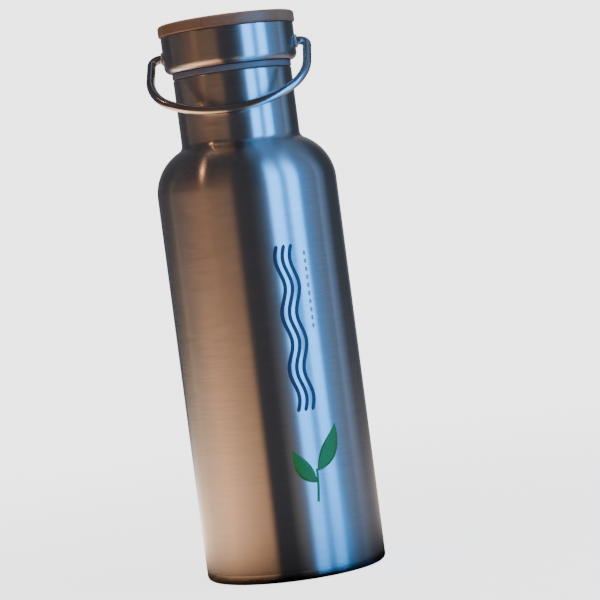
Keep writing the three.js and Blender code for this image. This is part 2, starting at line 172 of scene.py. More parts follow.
def refined(outline: np.ndarray, longest: float = LONGEST_STEP) -> np.ndarray:
    """Splits long stretches of an outline, so that shading stays true on flats.

    Args:
        outline: the outline's points.
        longest: longest stretch that is left whole.

    Returns:
        The outline with points added evenly along its long stretches.
    """
    length = np.concatenate([[0], np.cumsum(np.linalg.norm(np.diff(outline, axis=0), axis=1))])
    parts = np.maximum(1, np.ceil(np.diff(length) / longest)).astype(int)
    where = np.concatenate(
        [np.linspace(a, b, n, endpoint=False) for a, b, n in zip(length[:-1], length[1:], parts)]
        + [length[-1:]]
    )
    return np.column_stack([np.interp(where, length, outline[:, k]) for k in (0, 1)])


# ---------------------------------------------------------------- surfaces


@dataclass
class Surface:
    """A triangle and quad surface in millimetres."""

    points: np.ndarray
    quads: np.ndarray
    triangles: np.ndarray = field(default_factory=lambda: np.zeros((0, 3), int))

    def moved(self, matrix: Matrix) -> "Surface":
        """The surface after a turn and a shift, given as a matrix in millimetres."""
        turn = np.array(matrix.to_3x3(), float)
        shift = np.array(matrix.translation, float)
        return Surface(self.points @ turn.T + shift, self.quads, self.triangles)

    def joined(self, other: "Surface") -> "Surface":
        """This surface and another one as one mesh."""
        offset = len(self.points)
        return Surface(
            np.vstack([self.points, other.points]),
            np.vstack([self.quads, other.quads + offset]),
            np.vstack([self.triangles, other.triangles + offset]),
        )

    def as_piece(self, name: str) -> bpy.types.Object:
        """Makes a smooth-shaded object at the origin from the surface."""
        mesh = bpy.data.meshes.new(name)
        mesh.from_pydata((self.points * MM).tolist(), [], self.quads.tolist() + self.triangles.tolist())
        mesh.update()
        mesh.shade_smooth()
        piece = bpy.data.objects.new(name, mesh)
        bpy.context.scene.collection.objects.link(piece)
        return piece


def grid_quads(rows: int, columns: int, wrap_columns: bool, wrap_rows: bool) -> np.ndarray:
    """Quads between the points of a grid stored row by row.

    Args:
        rows: number of rows.
        columns: number of columns.
        wrap_columns: True if the last column joins the first.
        wrap_rows: True if the last row joins the first.

    Returns:
        Four point numbers for each quad.
    """
    i, j = np.meshgrid(
        np.arange(rows if wrap_rows else rows - 1),
        np.arange(columns if wrap_columns else columns - 1),
        indexing="ij",
    )
    below, ahead = (i + 1) % rows, (j + 1) % columns
    corners = [i * columns + j, i * columns + ahead, below * columns + ahead, below * columns + j]
    return np.stack(corners, axis=-1).reshape(-1, 4)


def revolve(outline: np.ndarray, around: int = LARGE_ROUND, relief: Relief | None = None) -> Surface:
    """A solid of revolution about the Z axis.

    A point at outline position i and angle a lies at radius times (cosine a, sine a) and at the
    outline's height. An outline that starts and ends on the axis closes in two poles, and any
    other one closes on itself as a ring.

    Args:
        outline: (radius, height) points in millimetres.
        around: number of facets round the axis.
        relief: gives new radii from the arrays of radius, height and angle.

    Returns:
        The closed surface, facing outwards.
    """
    radius, height = outline.T
    area = np.sum(radius * np.roll(height, -1) - np.roll(radius, -1) * height)
    if area < 0:
        outline = outline[::-1]
        radius, height = outline.T
    poled = radius[0] < 1e-6 and radius[-1] < 1e-6
    rings = outline[1:-1] if poled else outline
    angle = np.linspace(0, 2 * math.pi, around, endpoint=False)
    r, a = np.meshgrid(rings[:, 0], angle, indexing="ij")
    z = np.repeat(rings[:, 1:], around, axis=1)
    if relief is not None:
        r = relief(r, z, a)
    points = np.stack([r * np.cos(a), r * np.sin(a), z], axis=-1).reshape(-1, 3)
    quads = grid_quads(len(rings), around, True, not poled)
    if not poled:
        return Surface(points, quads)
    j = np.arange(around)
    ahead = (j + 1) % around
    first, last = len(points), len(points) + 1
    base = (len(rings) - 1) * around
    fans = np.vstack([
        np.column_stack([np.full(around, first), ahead, j]),
        np.column_stack([base + j, base + ahead, np.full(around, last)]),
    ])
    poles = [[0, 0, outline[0, 1]], [0, 0, outline[-1, 1]]]
    return Surface(np.vstack([points, poles]), quads, fans)


def sweep_wire(centre: np.ndarray, normal: np.ndarray, radius: float, sides: int) -> Surface:
    """A round wire along a line that lies in one plane.

    Each point is the centre line's point plus the wire's radius times a direction that turns
    from the plane's normal to the line's side vector. The ends close in a short dome.

    Args:
        centre: points of the centre line, in millimetres.
        normal: unit vector across the plane that the line lies in.
        radius: the wire's radius.
        sides: number of facets round the wire.

    Returns:
        The closed surface, facing outwards.
    """
    tangent = np.gradient(centre, axis=0)
    tangent /= np.linalg.norm(tangent, axis=1, keepdims=True)
    ease = np.radians(np.array([8.0, 30.0, 55.0, 78.0]))
    head = centre[0] - tangent[0] * radius * 0.35 * np.cos(ease)[:, None]
    tail = centre[-1] + tangent[-1] * radius * 0.35 * np.cos(ease[::-1])[:, None]
    line = np.vstack([head, centre, tail])
    along = np.vstack([np.repeat(tangent[:1], 4, 0), tangent, np.repeat(tangent[-1:], 4, 0)])
    size = radius * np.concatenate([np.sin(ease), np.ones(len(centre)), np.sin(ease[::-1])])
    side = np.cross(along, normal)
    angle = np.linspace(0, 2 * math.pi, sides, endpoint=False)
    spokes = (
        np.cos(angle)[None, :, None] * normal[None, None, :]
        + np.sin(angle)[None, :, None] * side[:, None, :]
    )
    points = (line[:, None, :] + size[:, None, None] * spokes).reshape(-1, 3)
    quads = grid_quads(len(line), sides, True, False)[:, ::-1]
    j = np.arange(sides)
    ahead = (j + 1) % sides
    base = (len(line) - 1) * sides
    first, last = len(points), len(points) + 1
    fans = np.vstack([
        np.column_stack([np.full(sides, first), j, ahead]),
        np.column_stack([base + ahead, base + j, np.full(sides, last)]),
    ])
    ends = [line[0] - along[0] * radius * 0.02, line[-1] + along[-1] * radius * 0.02]
    return Surface(np.vstack([points, ends]), quads, fans)


def ink_patch(left: np.ndarray, right: np.ndarray, across: int, wall: float, film: float) -> Surface:
    """A film of ink laid on a cylinder between two edge lines.

    The film is drawn flat, with distance round the wall as its first column and height as its
    second, and each point is wrapped to the angle that its distance spans on the wall. The
    outside lies one film above the wall and the inside just under it.

    Args:
        left: one edge, in millimetres.
        right: the other edge, with as many points.
        across: number of columns between the edges.
        wall: the cylinder's radius.
        film: thickness of the ink.

    Returns:
        The closed film, facing outwards.
    """
    share = np.linspace(0, 1, across)[None, :, None]
    flat = left[:, None, :] * (1 - share) + right[:, None, :] * share
    angle, height = flat[..., 0] / wall, flat[..., 1]
    sheets = [
        np.stack([r * np.sin(angle), -r * np.cos(angle), height], axis=-1)
        for r in (wall + film, wall - film)
    ]
    loop = np.concatenate([sheets[0], sheets[1][:, ::-1]], axis=1)
    rows, columns = loop.shape[:2]
    points = loop.reshape(-1, 3)
    quads = grid_quads(rows, columns, True, False)
    last = (rows - 1) * columns
    k = np.arange(across - 1)
    mirrored = columns - 1 - k
    start_cap = np.column_stack([k, mirrored, mirrored - 1, k + 1])
    end_cap = last + np.column_stack([k, k + 1, mirrored - 1, mirrored])
    return Surface(points, np.vstack([quads, start_cap, end_cap]))


# ---------------------------------------------------------------- finishes


def linear(hex_colour: str) -> tuple[float, float, float, float]:
    """Turns an sRGB hex colour such as "#c9a26b" to linear light, with full alpha."""
    channels = (int(hex_colour[i : i + 2], 16) / 255 for i in (1, 3, 5))
    r, g, b = (c / 12.92 if c <= 0.04045 else ((c + 0.055) / 1.055) ** 2.4 for c in channels)
    return (r, g, b, 1.0)


def add_node(
    tree: bpy.types.NodeTree,
    kind: str,
    settings: dict[str, Any] | None = None,
    stops: Iterable[tuple[float, tuple[float, ...]]] = (),
    **inputs: Any,
) -> bpy.types.Node:
    """Adds a shader node with its settings, its ramp's stops and its inputs.

    Args:
        tree: node tree that gets the node.
        kind: Blender's name of the node type.
        settings: attributes of the node.
        stops: positions and colours of a colour ramp.
        inputs: values or sockets by input name, with spaces as underscores, or by number as i0.

    Returns:
        The new node.
    """
    node = tree.nodes.new(kind)
    for name, value in (settings or {}).items():
        setattr(node, name, value)
    for i, (position, colour) in enumerate(stops):
        known = node.color_ramp.elements
        element = known[i] if i < len(known) else known.new(position)
        element.position = position
        element.color = colour
    for name, value in inputs.items():
        numbered = name[0] == "i" and name[1:].isdigit()
        socket = node.inputs[int(name[1:])] if numbered else node.inputs[name.replace("_", " ")]
        if isinstance(value, bpy.types.NodeSocket):
            tree.links.new(value, socket)
        else:
            socket.default_value = value
    return node


def grey(value: float) -> tuple[float, float, float, float]:
    """A neutral linear colour."""
    return (value, value, value, 1.0)


@dataclass(frozen=True)
class Finish:
    """What every finish shares: a name, a linear colour and a roughness."""

    name: str
    colour: str
    roughness: float

    def material(self) -> bpy.types.Material:
        """The finish as a material, made once and then reused."""
        found = bpy.data.materials.get(self.name)
        if found is not None:
            return found
        made = bpy.data.materials.new(self.name)
        made.use_nodes = True
        tree = made.node_tree
        tree.nodes.clear()
        shader = add_node(tree, "ShaderNodeBsdfPrincipled", Base_Color=linear(self.colour),
                          Roughness=self.roughness)
        add_node(tree, "ShaderNodeOutputMaterial", Surface=shader.outputs[0])
        self.dress(tree, shader)
        return made

    def dress(self, tree: bpy.types.NodeTree, shader: bpy.types.Node) -> None:
        """Adds what the finish has beyond a flat colour."""

    def object_noise(
        self, tree: bpy.types.NodeTree, size_mm: tuple[float, float, float], detail: float = 2.0
    ) -> bpy.types.NodeSocket:
        """Noise in Object coordinates whose grains have a real size.

        Args:
            tree: the material's node tree.
            size_mm: rough size of a grain along X, Y and Z.
            detail: octaves of finer noise.

        Returns:
            The noise's value, about 0.5 on average.
        """
        place = add_node(tree, "ShaderNodeTexCoord")
        scale = tuple(1 / (s * MM) for s in size_mm)
        mapped = add_node(tree, "ShaderNodeMapping", Vector=place.outputs["Object"], Scale=scale)
        noise = add_node(tree, "ShaderNodeTexNoise", Vector=mapped.outputs[0], Scale=1.0,
                         Detail=detail, Roughness=0.55)
        return noise.outputs["Fac"]


class Grain(Enum):
    """Which way a brushed surface was worked."""

    ROUND_THE_AXIS = "lathe"
    PLAIN = "plain"


@dataclass(frozen=True)
class BrushedSteel(Finish):
    """Stainless steel 18/8, brushed with an abrasive belt while it turned.

    The fine rings smear reflections up and down into tall soft bands and keep them crisp
    sideways. Rings are really 0.1 to 0.2 mm apart and are drawn 0.5 mm apart, so that they show.
    """

    grain: Grain = Grain.ROUND_THE_AXIS
    ring_mm: float = 0.5
    ring_run_mm: float = 9.0
    streak_mm: float = 3.2
    streak_run_mm: float = 70.0
    anisotropy: float = 0.95
    bump: float = 0.012

    def dress(self, tree: bpy.types.NodeTree, shader: bpy.types.Node) -> None:
        """Metal with ring-shaped scratches, uneven sheen and faint handling marks."""
        shader.inputs["Metallic"].default_value = 1.0
        rings = self.object_noise(tree, (self.ring_run_mm, self.ring_run_mm, self.ring_mm), 2.0)
        streaks = self.object_noise(tree, (self.streak_run_mm, self.streak_run_mm, self.streak_mm), 2.0)
        marks = self.object_noise(tree, (14.0, 14.0, 22.0), 4.0)
        dark = tuple(c * 0.86 for c in linear(self.colour)[:3]) + (1.0,)
        broad = add_node(tree, "ShaderNodeMapRange", i0=streaks, **NOISE_SPAN, i3=0.25, i4=0.5)
        narrow = add_node(tree, "ShaderNodeMapRange", i0=rings, **NOISE_SPAN, i3=-0.1, i4=0.5)
        both = add_node(tree, "ShaderNodeMath", {"operation": "ADD"}, i0=broad.outputs[0],
                        i1=narrow.outputs[0])
        tone = add_node(tree, "ShaderNodeMix", {"data_type": "RGBA"}, i0=both.outputs[0],
                        i6=dark, i7=linear(self.colour))
        tree.links.new(tone.outputs[2], shader.inputs["Base Color"])
        cut = add_node(tree, "ShaderNodeMapRange", i0=rings, **NOISE_SPAN,
                       i3=self.roughness - 0.006, i4=self.roughness + 0.006)
        rubbed = add_node(tree, "ShaderNodeMapRange", i0=marks, **NOISE_SPAN, i3=-0.006, i4=0.012)
        worn = add_node(tree, "ShaderNodeMath", {"operation": "ADD"}, i0=cut.outputs[0],
                        i1=rubbed.outputs[0])
        tree.links.new(worn.outputs[0], shader.inputs["Roughness"])
        bump = add_node(tree, "ShaderNodeBump", Height=rings, Strength=self.bump, Distance=0.03 * MM)
        tree.links.new(bump.outputs[0], shader.inputs["Normal"])
        if self.grain is Grain.ROUND_THE_AXIS:
            shader.inputs["Anisotropic"].default_value = self.anisotropy
            shader.inputs["Anisotropic Rotation"].default_value = 0.25
            tangent = add_node(tree, "ShaderNodeTangent", {"direction_type": "RADIAL", "axis": "Z"})
            tree.links.new(tangent.outputs[0], shader.inputs["Tangent"])


@dataclass(frozen=True)
class DrawnWire(Finish):
    """Stainless wire, drawn through a die and barrel polished.

    It looks nearly mirror-bright, with soft dents and a light haze where hands and the neck rub it.
    """

    def dress(self, tree: bpy.types.NodeTree, shader: bpy.types.Node) -> None:
        """Bright metal with a patchy haze and very shallow ripples."""
        shader.inputs["Metallic"].default_value = 1.0
        haze = self.object_noise(tree, (5.0, 5.0, 5.0), 4.0)
        ripple = self.object_noise(tree, (1.6, 1.6, 1.6), 2.0)
        hazed = add_node(tree, "ShaderNodeMapRange", i0=haze, **NOISE_SPAN,
                         i3=self.roughness - 0.05, i4=self.roughness + 0.08)
        tree.links.new(hazed.outputs[0], shader.inputs["Roughness"])
        bump = add_node(tree, "ShaderNodeBump", Height=ripple, Strength=0.12, Distance=0.05 * MM)
        tree.links.new(bump.outputs[0], shader.inputs["Normal"])


@dataclass(frozen=True)
class Bamboo(Finish):
    """Strip-laminated bamboo, sanded to 240 grit and oiled.

    The eye sees strips of slightly different tan, fine dark fibres along them and now and then
    a browner node across a strip. The oil leaves it matt with a faint sheen.
    """

    fibre_colour: str = "#8f6238"
    node_colour: str = "#85603c"
    strip_mm: float = 6.2
    fibre_mm: float = 0.28
    node_spacing_mm: float = 150.0

    def dress(self, tree: bpy.types.NodeTree, shader: bpy.types.Node) -> None:
        """Strips along X, each with its own tone, fibres and nodes."""
        place = add_node(tree, "ShaderNodeTexCoord")
        axes = add_node(tree, "ShaderNodeSeparateXYZ", Vector=place.outputs["Object"])
        lanes = add_node(tree, "ShaderNodeMath", {"operation": "MULTIPLY_ADD"}, i0=axes.outputs[1],
                         i1=1 / (self.strip_mm * MM), i2=40.37)
        strip = add_node(tree, "ShaderNodeMath", {"operation": "FLOOR"}, i0=lanes.outputs[0])
        chance = add_node(tree, "ShaderNodeTexWhiteNoise", {"noise_dimensions": "1D"}, W=strip.outputs[0])
        fibres = self.object_noise(tree, (18.0, self.fibre_mm, self.fibre_mm), 3.0)
        clouds = self.object_noise(tree, (22.0, 3.0, 3.0), 3.0)
        light = linear(self.colour)
        warm = tuple(c * f for c, f in zip(light[:3], (0.80, 0.74, 0.66))) + (1.0,)
        strips = add_node(tree, "ShaderNodeMix", {"data_type": "RGBA"}, i0=chance.outputs[0],
                          i6=light, i7=warm)
        cloud = add_node(tree, "ShaderNodeMapRange", i0=clouds, **NOISE_SPAN, i3=0.0, i4=0.35)
        clouded = add_node(tree, "ShaderNodeMix", {"data_type": "RGBA"}, i0=cloud.outputs[0],
                           i6=strips.outputs[2], i7=warm)
        line = add_node(tree, "ShaderNodeMapRange", i0=fibres, **NOISE_SPAN, i3=0.0, i4=0.6)
        lined = add_node(tree, "ShaderNodeMix", {"data_type": "RGBA"}, i0=line.outputs[0],
                         i6=clouded.outputs[2], i7=linear(self.fibre_colour))
        shifted = add_node(tree, "ShaderNodeMath", {"operation": "MULTIPLY_ADD"}, i0=axes.outputs[0],
                           i1=1 / (self.node_spacing_mm * MM), i2=chance.outputs[0])
        turns = add_node(tree, "ShaderNodeMath", {"operation": "FRACT"}, i0=shifted.outputs[0])
        nodes = add_node(tree, "ShaderNodeValToRGB", stops=(
            (0.482, grey(0)), (0.493, grey(0.35)), (0.498, grey(0.12)), (0.502, grey(0.5)), (0.512, grey(0)),
        ), Fac=turns.outputs[0])
        banded = add_node(tree, "ShaderNodeMix", {"data_type": "RGBA"}, i0=nodes.outputs[0],
                          i6=lined.outputs[2], i7=linear(self.node_colour))
        tree.links.new(banded.outputs[2], shader.inputs["Base Color"])
        oiled = add_node(tree, "ShaderNodeMapRange", i0=fibres, **NOISE_SPAN,
                         i3=self.roughness - 0.08, i4=self.roughness + 0.08)
        tree.links.new(oiled.outputs[0], shader.inputs["Roughness"])
        seam = add_node(tree, "ShaderNodeMath", {"operation": "FRACT"}, i0=lanes.outputs[0])
        groove = add_node(tree, "ShaderNodeValToRGB", stops=(
            (0.0, grey(0)), (0.03, grey(1)), (0.97, grey(1)), (1.0, grey(0)),
        ), Fac=seam.outputs[0])
        relief = add_node(tree, "ShaderNodeMath", {"operation": "MULTIPLY_ADD"}, i0=groove.outputs[0],
                          i1=0.6, i2=fibres)
        bump = add_node(tree, "ShaderNodeBump", Height=relief.outputs[0], Strength=0.35, Distance=0.06 * MM)
        tree.links.new(bump.outputs[0], shader.inputs["Normal"])


@dataclass(frozen=True)
class Moulded(Finish):
    """Silicone rubber or polypropylene, moulded in a tool with a fine spark-eroded texture.

    The texture scatters light, so the piece looks even and soft, with a wide dim highlight.
    """

    grain_mm: float = 0.35
    bump: float = 0.25
    sheen: float = 0.0

    def dress(self, tree: bpy.types.NodeTree, shader: bpy.types.Node) -> None:
        """A pebbled skin and slight changes of tone."""
        shader.inputs["Sheen Weight"].default_value = self.sheen
        pebbles = self.object_noise(tree, (self.grain_mm,) * 3, 2.0)
        clouds = self.object_noise(tree, (9.0, 9.0, 9.0), 3.0)
        dark = tuple(c * 0.86 for c in linear(self.colour)[:3]) + (1.0,)
        cloud = add_node(tree, "ShaderNodeMapRange", i0=clouds, **NOISE_SPAN, i3=0.0, i4=1.0)
        tone = add_node(tree, "ShaderNodeMix", {"data_type": "RGBA"}, i0=cloud.outputs[0],
                        i6=linear(self.colour), i7=dark)
        tree.links.new(tone.outputs[2], shader.inputs["Base Color"])
        pebbled = add_node(tree, "ShaderNodeMapRange", i0=pebbles, **NOISE_SPAN,
                           i3=self.roughness - 0.05, i4=self.roughness + 0.07)
        tree.links.new(pebbled.outputs[0], shader.inputs["Roughness"])
        bump = add_node(tree, "ShaderNodeBump", Height=pebbles, Strength=self.bump, Distance=0.04 * MM)
        tree.links.new(bump.outputs[0], shader.inputs["Normal"])


@dataclass(frozen=True)
class ScreenInk(Finish):
    """Two-part ink, screen printed straight onto the steel and baked.

    It looks even and slightly satin, with the mesh of the screen as a very faint texture.
    """

    mesh_mm: float = 0.5

    def dress(self, tree: bpy.types.NodeTree, shader: bpy.types.Node) -> None:
        """A faint cloth-like unevenness in tone and gloss."""
        cells = self.object_noise(tree, (self.mesh_mm,) * 3, 1.0)
        dark = tuple(c * 0.8 for c in linear(self.colour)[:3]) + (1.0,)
        cell = add_node(tree, "ShaderNodeMapRange", i0=cells, **NOISE_SPAN, i3=0.0, i4=1.0)
        tone = add_node(tree, "ShaderNodeMix", {"data_type": "RGBA"}, i0=cell.outputs[0],
                        i6=linear(self.colour), i7=dark)
        tree.links.new(tone.outputs[2], shader.inputs["Base Color"])
        gloss = add_node(tree, "ShaderNodeMapRange", i0=cells, **NOISE_SPAN,
                         i3=self.roughness - 0.06, i4=self.roughness + 0.06)
        tree.links.new(gloss.outputs[0], shader.inputs["Roughness"])


@dataclass(frozen=True)
class PittedFace(Finish):
    """A dull, pitted face, as on zirconium powder pressed to a tablet or on cut polyurethane foam."""

    grain_mm: float = 0.4
    metallic: float = 0.0

    def dress(self, tree: bpy.types.NodeTree, shader: bpy.types.Node) -> None:
        """Deep small pits and speckled tone."""
        shader.inputs["Metallic"].default_value = self.metallic
        pits = self.object_noise(tree, (self.grain_mm,) * 3, 3.0)
        dark = tuple(c * 0.6 for c in linear(self.colour)[:3]) + (1.0,)
        speckle = add_node(tree, "ShaderNodeMapRange", i0=pits, **NOISE_SPAN, i3=0.0, i4=1.0)
        tone = add_node(tree, "ShaderNodeMix", {"data_type": "RGBA"}, i0=speckle.outputs[0],
                        i6=dark, i7=linear(self.colour))
        tree.links.new(tone.outputs[2], shader.inputs["Base Color"])
        bump = add_node(tree, "ShaderNodeBump", Height=pits, Strength=0.8, Distance=0.15 * MM)
        tree.links.new(bump.outputs[0], shader.inputs["Normal"])


BRUSHED = BrushedSteel("steel_18_8_lathe_brushed", "#cccbc9", 0.25)
BASE_BRUSHED = BrushedSteel("steel_18_8_base_fine_brushed", "#c6c5c3", 0.15)
POLISHED = BrushedSteel("steel_18_8_electropolished", "#bdbcb9", 0.24, grain=Grain.PLAIN, bump=0.05)
WIRE = DrawnWire("steel_wire_drawn_polished", "#c6c5c4", 0.16)
BAMBOO = Bamboo("bamboo_laminated_oiled", "#b9997e", 0.36)
SILICONE = Moulded("silicone_light_grey_moulded", "#8b8e93", 0.34, grain_mm=0.3, bump=0.08)
PLUG_PP = Moulded("polypropylene_grey_moulded", "#8f9296", 0.42, grain_mm=0.25, bump=0.15)
BUSH_POM = Moulded("acetal_pale_grey_moulded", "#c2c5c8", 0.34, grain_mm=0.2, bump=0.08)
FOAM = PittedFace("polyurethane_foam_cut", "#e6dcc0", 0.9, grain_mm=0.8)
GETTER = PittedFace("zirconium_powder_pressed", "#5b5b5f", 0.75, grain_mm=0.25, metallic=0.7)
SEAL_GLASS = Moulded("sealing_glass_melted", "#39463b", 0.12, grain_mm=1.2, bump=0.05)
NAVY_INK = ScreenInk("ink_navy_screen_printed", "#2b3650", 0.42)
GREEN_INK = ScreenInk("ink_green_screen_printed", "#2f9440", 0.42)
PALE_INK = ScreenInk("ink_pale_grey_screen_printed", "#b9c6d6", 0.45)


# ---------------------------------------------------------------- pieces


def finish_piece(
    surface: Surface, name: str, finish: Finish, body: str,
    node: str | None = None,
) -> bpy.types.Object:
    """Makes a surface a piece of the object and says where it belongs.

    Args:
        surface: the piece's surface, in millimetres.
        name: the piece's name.
        finish: the finish that it gets.
        body: the CAD body that it moves with.
        node: the CAD node that it stands for.

    Returns:
        The piece.
    """
    piece = surface.as_piece(name)
    piece.data.materials.append(finish.material())
    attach(piece, body)
    if node is not None:
        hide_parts(node)
    log.info("%s: %d points, finish %s, on body %s", name, len(surface.points), finish.name, body)
    return piece


@dataclass(frozen=True)
class RoundThread:
    """Round ridges of a multi-start thread on a cylinder.

    A ridge's centre climbs by the lead in one turn. The radius changes by the height of a half
    circle over the distance from that centre, and each end of a ridge fades over a short turn.
    """

    radius: float
    start_height: float
    outward: bool
    ridge: float = 1.05
    pitch: float = 4.0
    starts: int = 2
    fade: float = 0.05

    def relief(self, r: np.ndarray, z: np.ndarray, a: np.ndarray) -> np.ndarray:
        """Radii after the ridges are added.

        Args:
            r: radius of each point.
            z: height of each point.
            a: angle of each point.

        Returns:
            The new radii, changed only on this thread's own cylinder.
        """
        rise = np.zeros_like(r)
        for start in range(self.starts):
            turn = ((a / (2 * math.pi)) - start / self.starts) % 1.0
            centre = self.start_height + self.pitch * self.starts * turn
            dome = np.sqrt(np.clip(1 - ((z - centre) / self.ridge) ** 2, 0, 1))
            ends = np.clip(turn / self.fade, 0, 1) * np.clip((1 - turn) / self.fade, 0, 1)
            rise = np.maximum(rise, self.ridge * dome * ends * ends * (3 - 2 * ends))
        on_wall = np.abs(r - self.radius) < 0.02
        return r + np.where(on_wall, rise if self.outward else -rise, 0.0)


def wall_side(
    body_radius: float, neck_radius: float, fillet: float, shoulder: tuple[float, float]
) -> tuple[np.ndarray, float]:
    """One side of the bottle's wall over the shoulder and up to the start of the neck.

    The shoulder is an arc round a fixed centre, and the fillet touches both it and the neck.

    Args:
        body_radius: radius of the straight wall.
        neck_radius: radius of the neck.
        fillet: radius between shoulder and neck.
        shoulder: centre of the shoulder's arc as radius and height.

    Returns:
        The points from the end of the straight wall, and the height at which the neck starts.
    """
    shoulder_radius = body_radius - shoulder[0]
    sideways = neck_radius + fillet - shoulder[0]
    rise = math.sqrt((shoulder_radius + fillet) ** 2 - sideways**2)
    meet = math.degrees(math.atan2(rise, sideways))
    over = arc(shoulder, shoulder_radius, 0, meet)
    into = arc((neck_radius + fillet, shoulder[1] + rise), fillet, 180 + meet, 180)
    return np.vstack([over, into[1:]]), shoulder[1] + rise


@dataclass
class OuterBottle:
    """Outer shell, bottom cup and the cover of its evacuation port."""

    body_radius: float = extent("outer_shell").radius
    lip_height: float = extent("outer_shell").top
    shell_bottom: float = extent("outer_shell").bottom
    neck_radius: float = extent("gasket").radius - 0.1
    straight_height: float = 156.0
    shoulder_radius: float = 20.0
    neck_fillet: float = 3.0
    wall: float = 0.6
    lip_width: float = 1.7
    lip_round: float = 0.7
    base_edge: float = 3.5
    ring_width: float = 4.0
    recess: float = 2.2
    recess_slope: float = 2.0
    pocket_depth: float = 1.2
    port_radius: float = 1.7
    collar_gap: float = 0.3

    @property
    def shoulder_centre(self) -> tuple[float, float]:
        """Centre of the shoulder's arc."""
        return (self.body_radius - self.shoulder_radius, self.straight_height)

    def shell(self) -> Surface:
        """Spun wall with shoulder, fillet, neck and a lip rolled inwards."""
        outside, _ = wall_side(self.body_radius, self.neck_radius, self.neck_fillet, self.shoulder_centre)
        inside, _ = wall_side(self.body_radius - self.wall, self.neck_radius - self.wall,
                              self.neck_fillet + self.wall, self.shoulder_centre)
        lip_inner = self.neck_radius - self.lip_width
        turned = self.lip_height - 2 * self.lip_round
        lip = rounded([
            (self.neck_radius, turned - 2, 0),
            (self.neck_radius, self.lip_height, self.lip_round),
            (lip_inner, self.lip_height, 0.3),
            (lip_inner, turned, 0.1),
            (self.neck_radius - self.wall, turned - 1, 0),
        ], closed=False)
        foot = rounded([
            (self.body_radius - self.wall, self.shell_bottom + 1, 0),
            (self.body_radius - self.wall, self.shell_bottom, 0.1),
            (self.body_radius, self.shell_bottom, 0.02),
            (self.body_radius, self.shell_bottom + 1, 0),
        ], closed=False)
        ring = np.vstack([foot, outside, lip, inside[::-1], foot[:1]])
        return revolve(refined(ring)[:-1])

    def bottom_cup(self) -> Surface:
        """Rounded base edge, flat standing ring, recess, cover pocket and port."""
        cup = extent("outer_bottom")
        collar = self.body_radius - self.wall - self.collar_gap
        edge_top = self.shell_bottom - 0.005
        ring_inner = self.body_radius - self.base_edge - self.ring_width
        pocket = extent("base_cover").radius + self.collar_gap
        pocket_top = self.recess + self.pocket_depth
        w = self.wall
        return revolve(refined(np.vstack([
            rounded([
                (collar - w, cup.top, 0.2), (collar, cup.top, 0.2), (collar, edge_top, 0.1),
                (self.body_radius, edge_top, 0.02), (self.body_radius, 0, self.base_edge),
                (ring_inner, 0, 0.9), (ring_inner - self.recess_slope, self.recess, 1.2),
                (pocket, self.recess, 0.3), (pocket, pocket_top, 0.3),
                (self.port_radius, pocket_top, 0.15), (self.port_radius, pocket_top + w, 0.15),
                (pocket + w, pocket_top + w, 0.3), (pocket + w, self.recess + w, 0.3),
                (ring_inner - self.recess_slope + w / 2, self.recess + w, 1.0),
                (ring_inner + w / 2, w, 0.8), (collar - w, w, 2.0),
            ], closed=True),
            [[collar - w, cup.top - 0.1]],
        ]), 2.0))

    def cover(self) -> Surface:
        """Stamped disc with a turned-down edge and a shallow ring pressed into it."""
        box = extent("base_cover")
        inset = box.radius * 0.72
        return revolve(refined(rounded([
            (0, box.bottom + 0.12, 0), (inset - 1.2, box.bottom + 0.12, 0.6), (inset, box.bottom + 0.02, 0.6),
            (inset + 1.2, box.bottom + 0.12, 0.6), (box.radius, box.bottom + 0.12, 0.25),
            (box.radius, box.top, 0.1), (0, box.top, 0),
        ], closed=False), 1.5))

    def bead(self) -> Surface:
        """Melted bead whose free surfaces pull themselves round."""
        box = extent("port_seal_bead")
        return revolve(refined(rounded([
            (0, box.bottom, 0), (box.radius, box.bottom, 0.45), (box.radius, box.top, 0.6), (0, box.top, 0),
        ], closed=False), 0.4), SMALL_ROUND)

    def build(self) -> None:
        """Makes the outer pieces on the bottle's body."""
        finish_piece(self.shell(), "outer_wall", BRUSHED, "bottle", "outer_shell")
        finish_piece(self.bottom_cup(), "bottom_cup", BASE_BRUSHED, "bottle", "outer_bottom")
        finish_piece(self.cover(), "port_cover", POLISHED, "bottle", "base_cover")
        finish_piece(self.bead(), "port_bead", SEAL_GLASS, "bottle", "port_seal_bead")


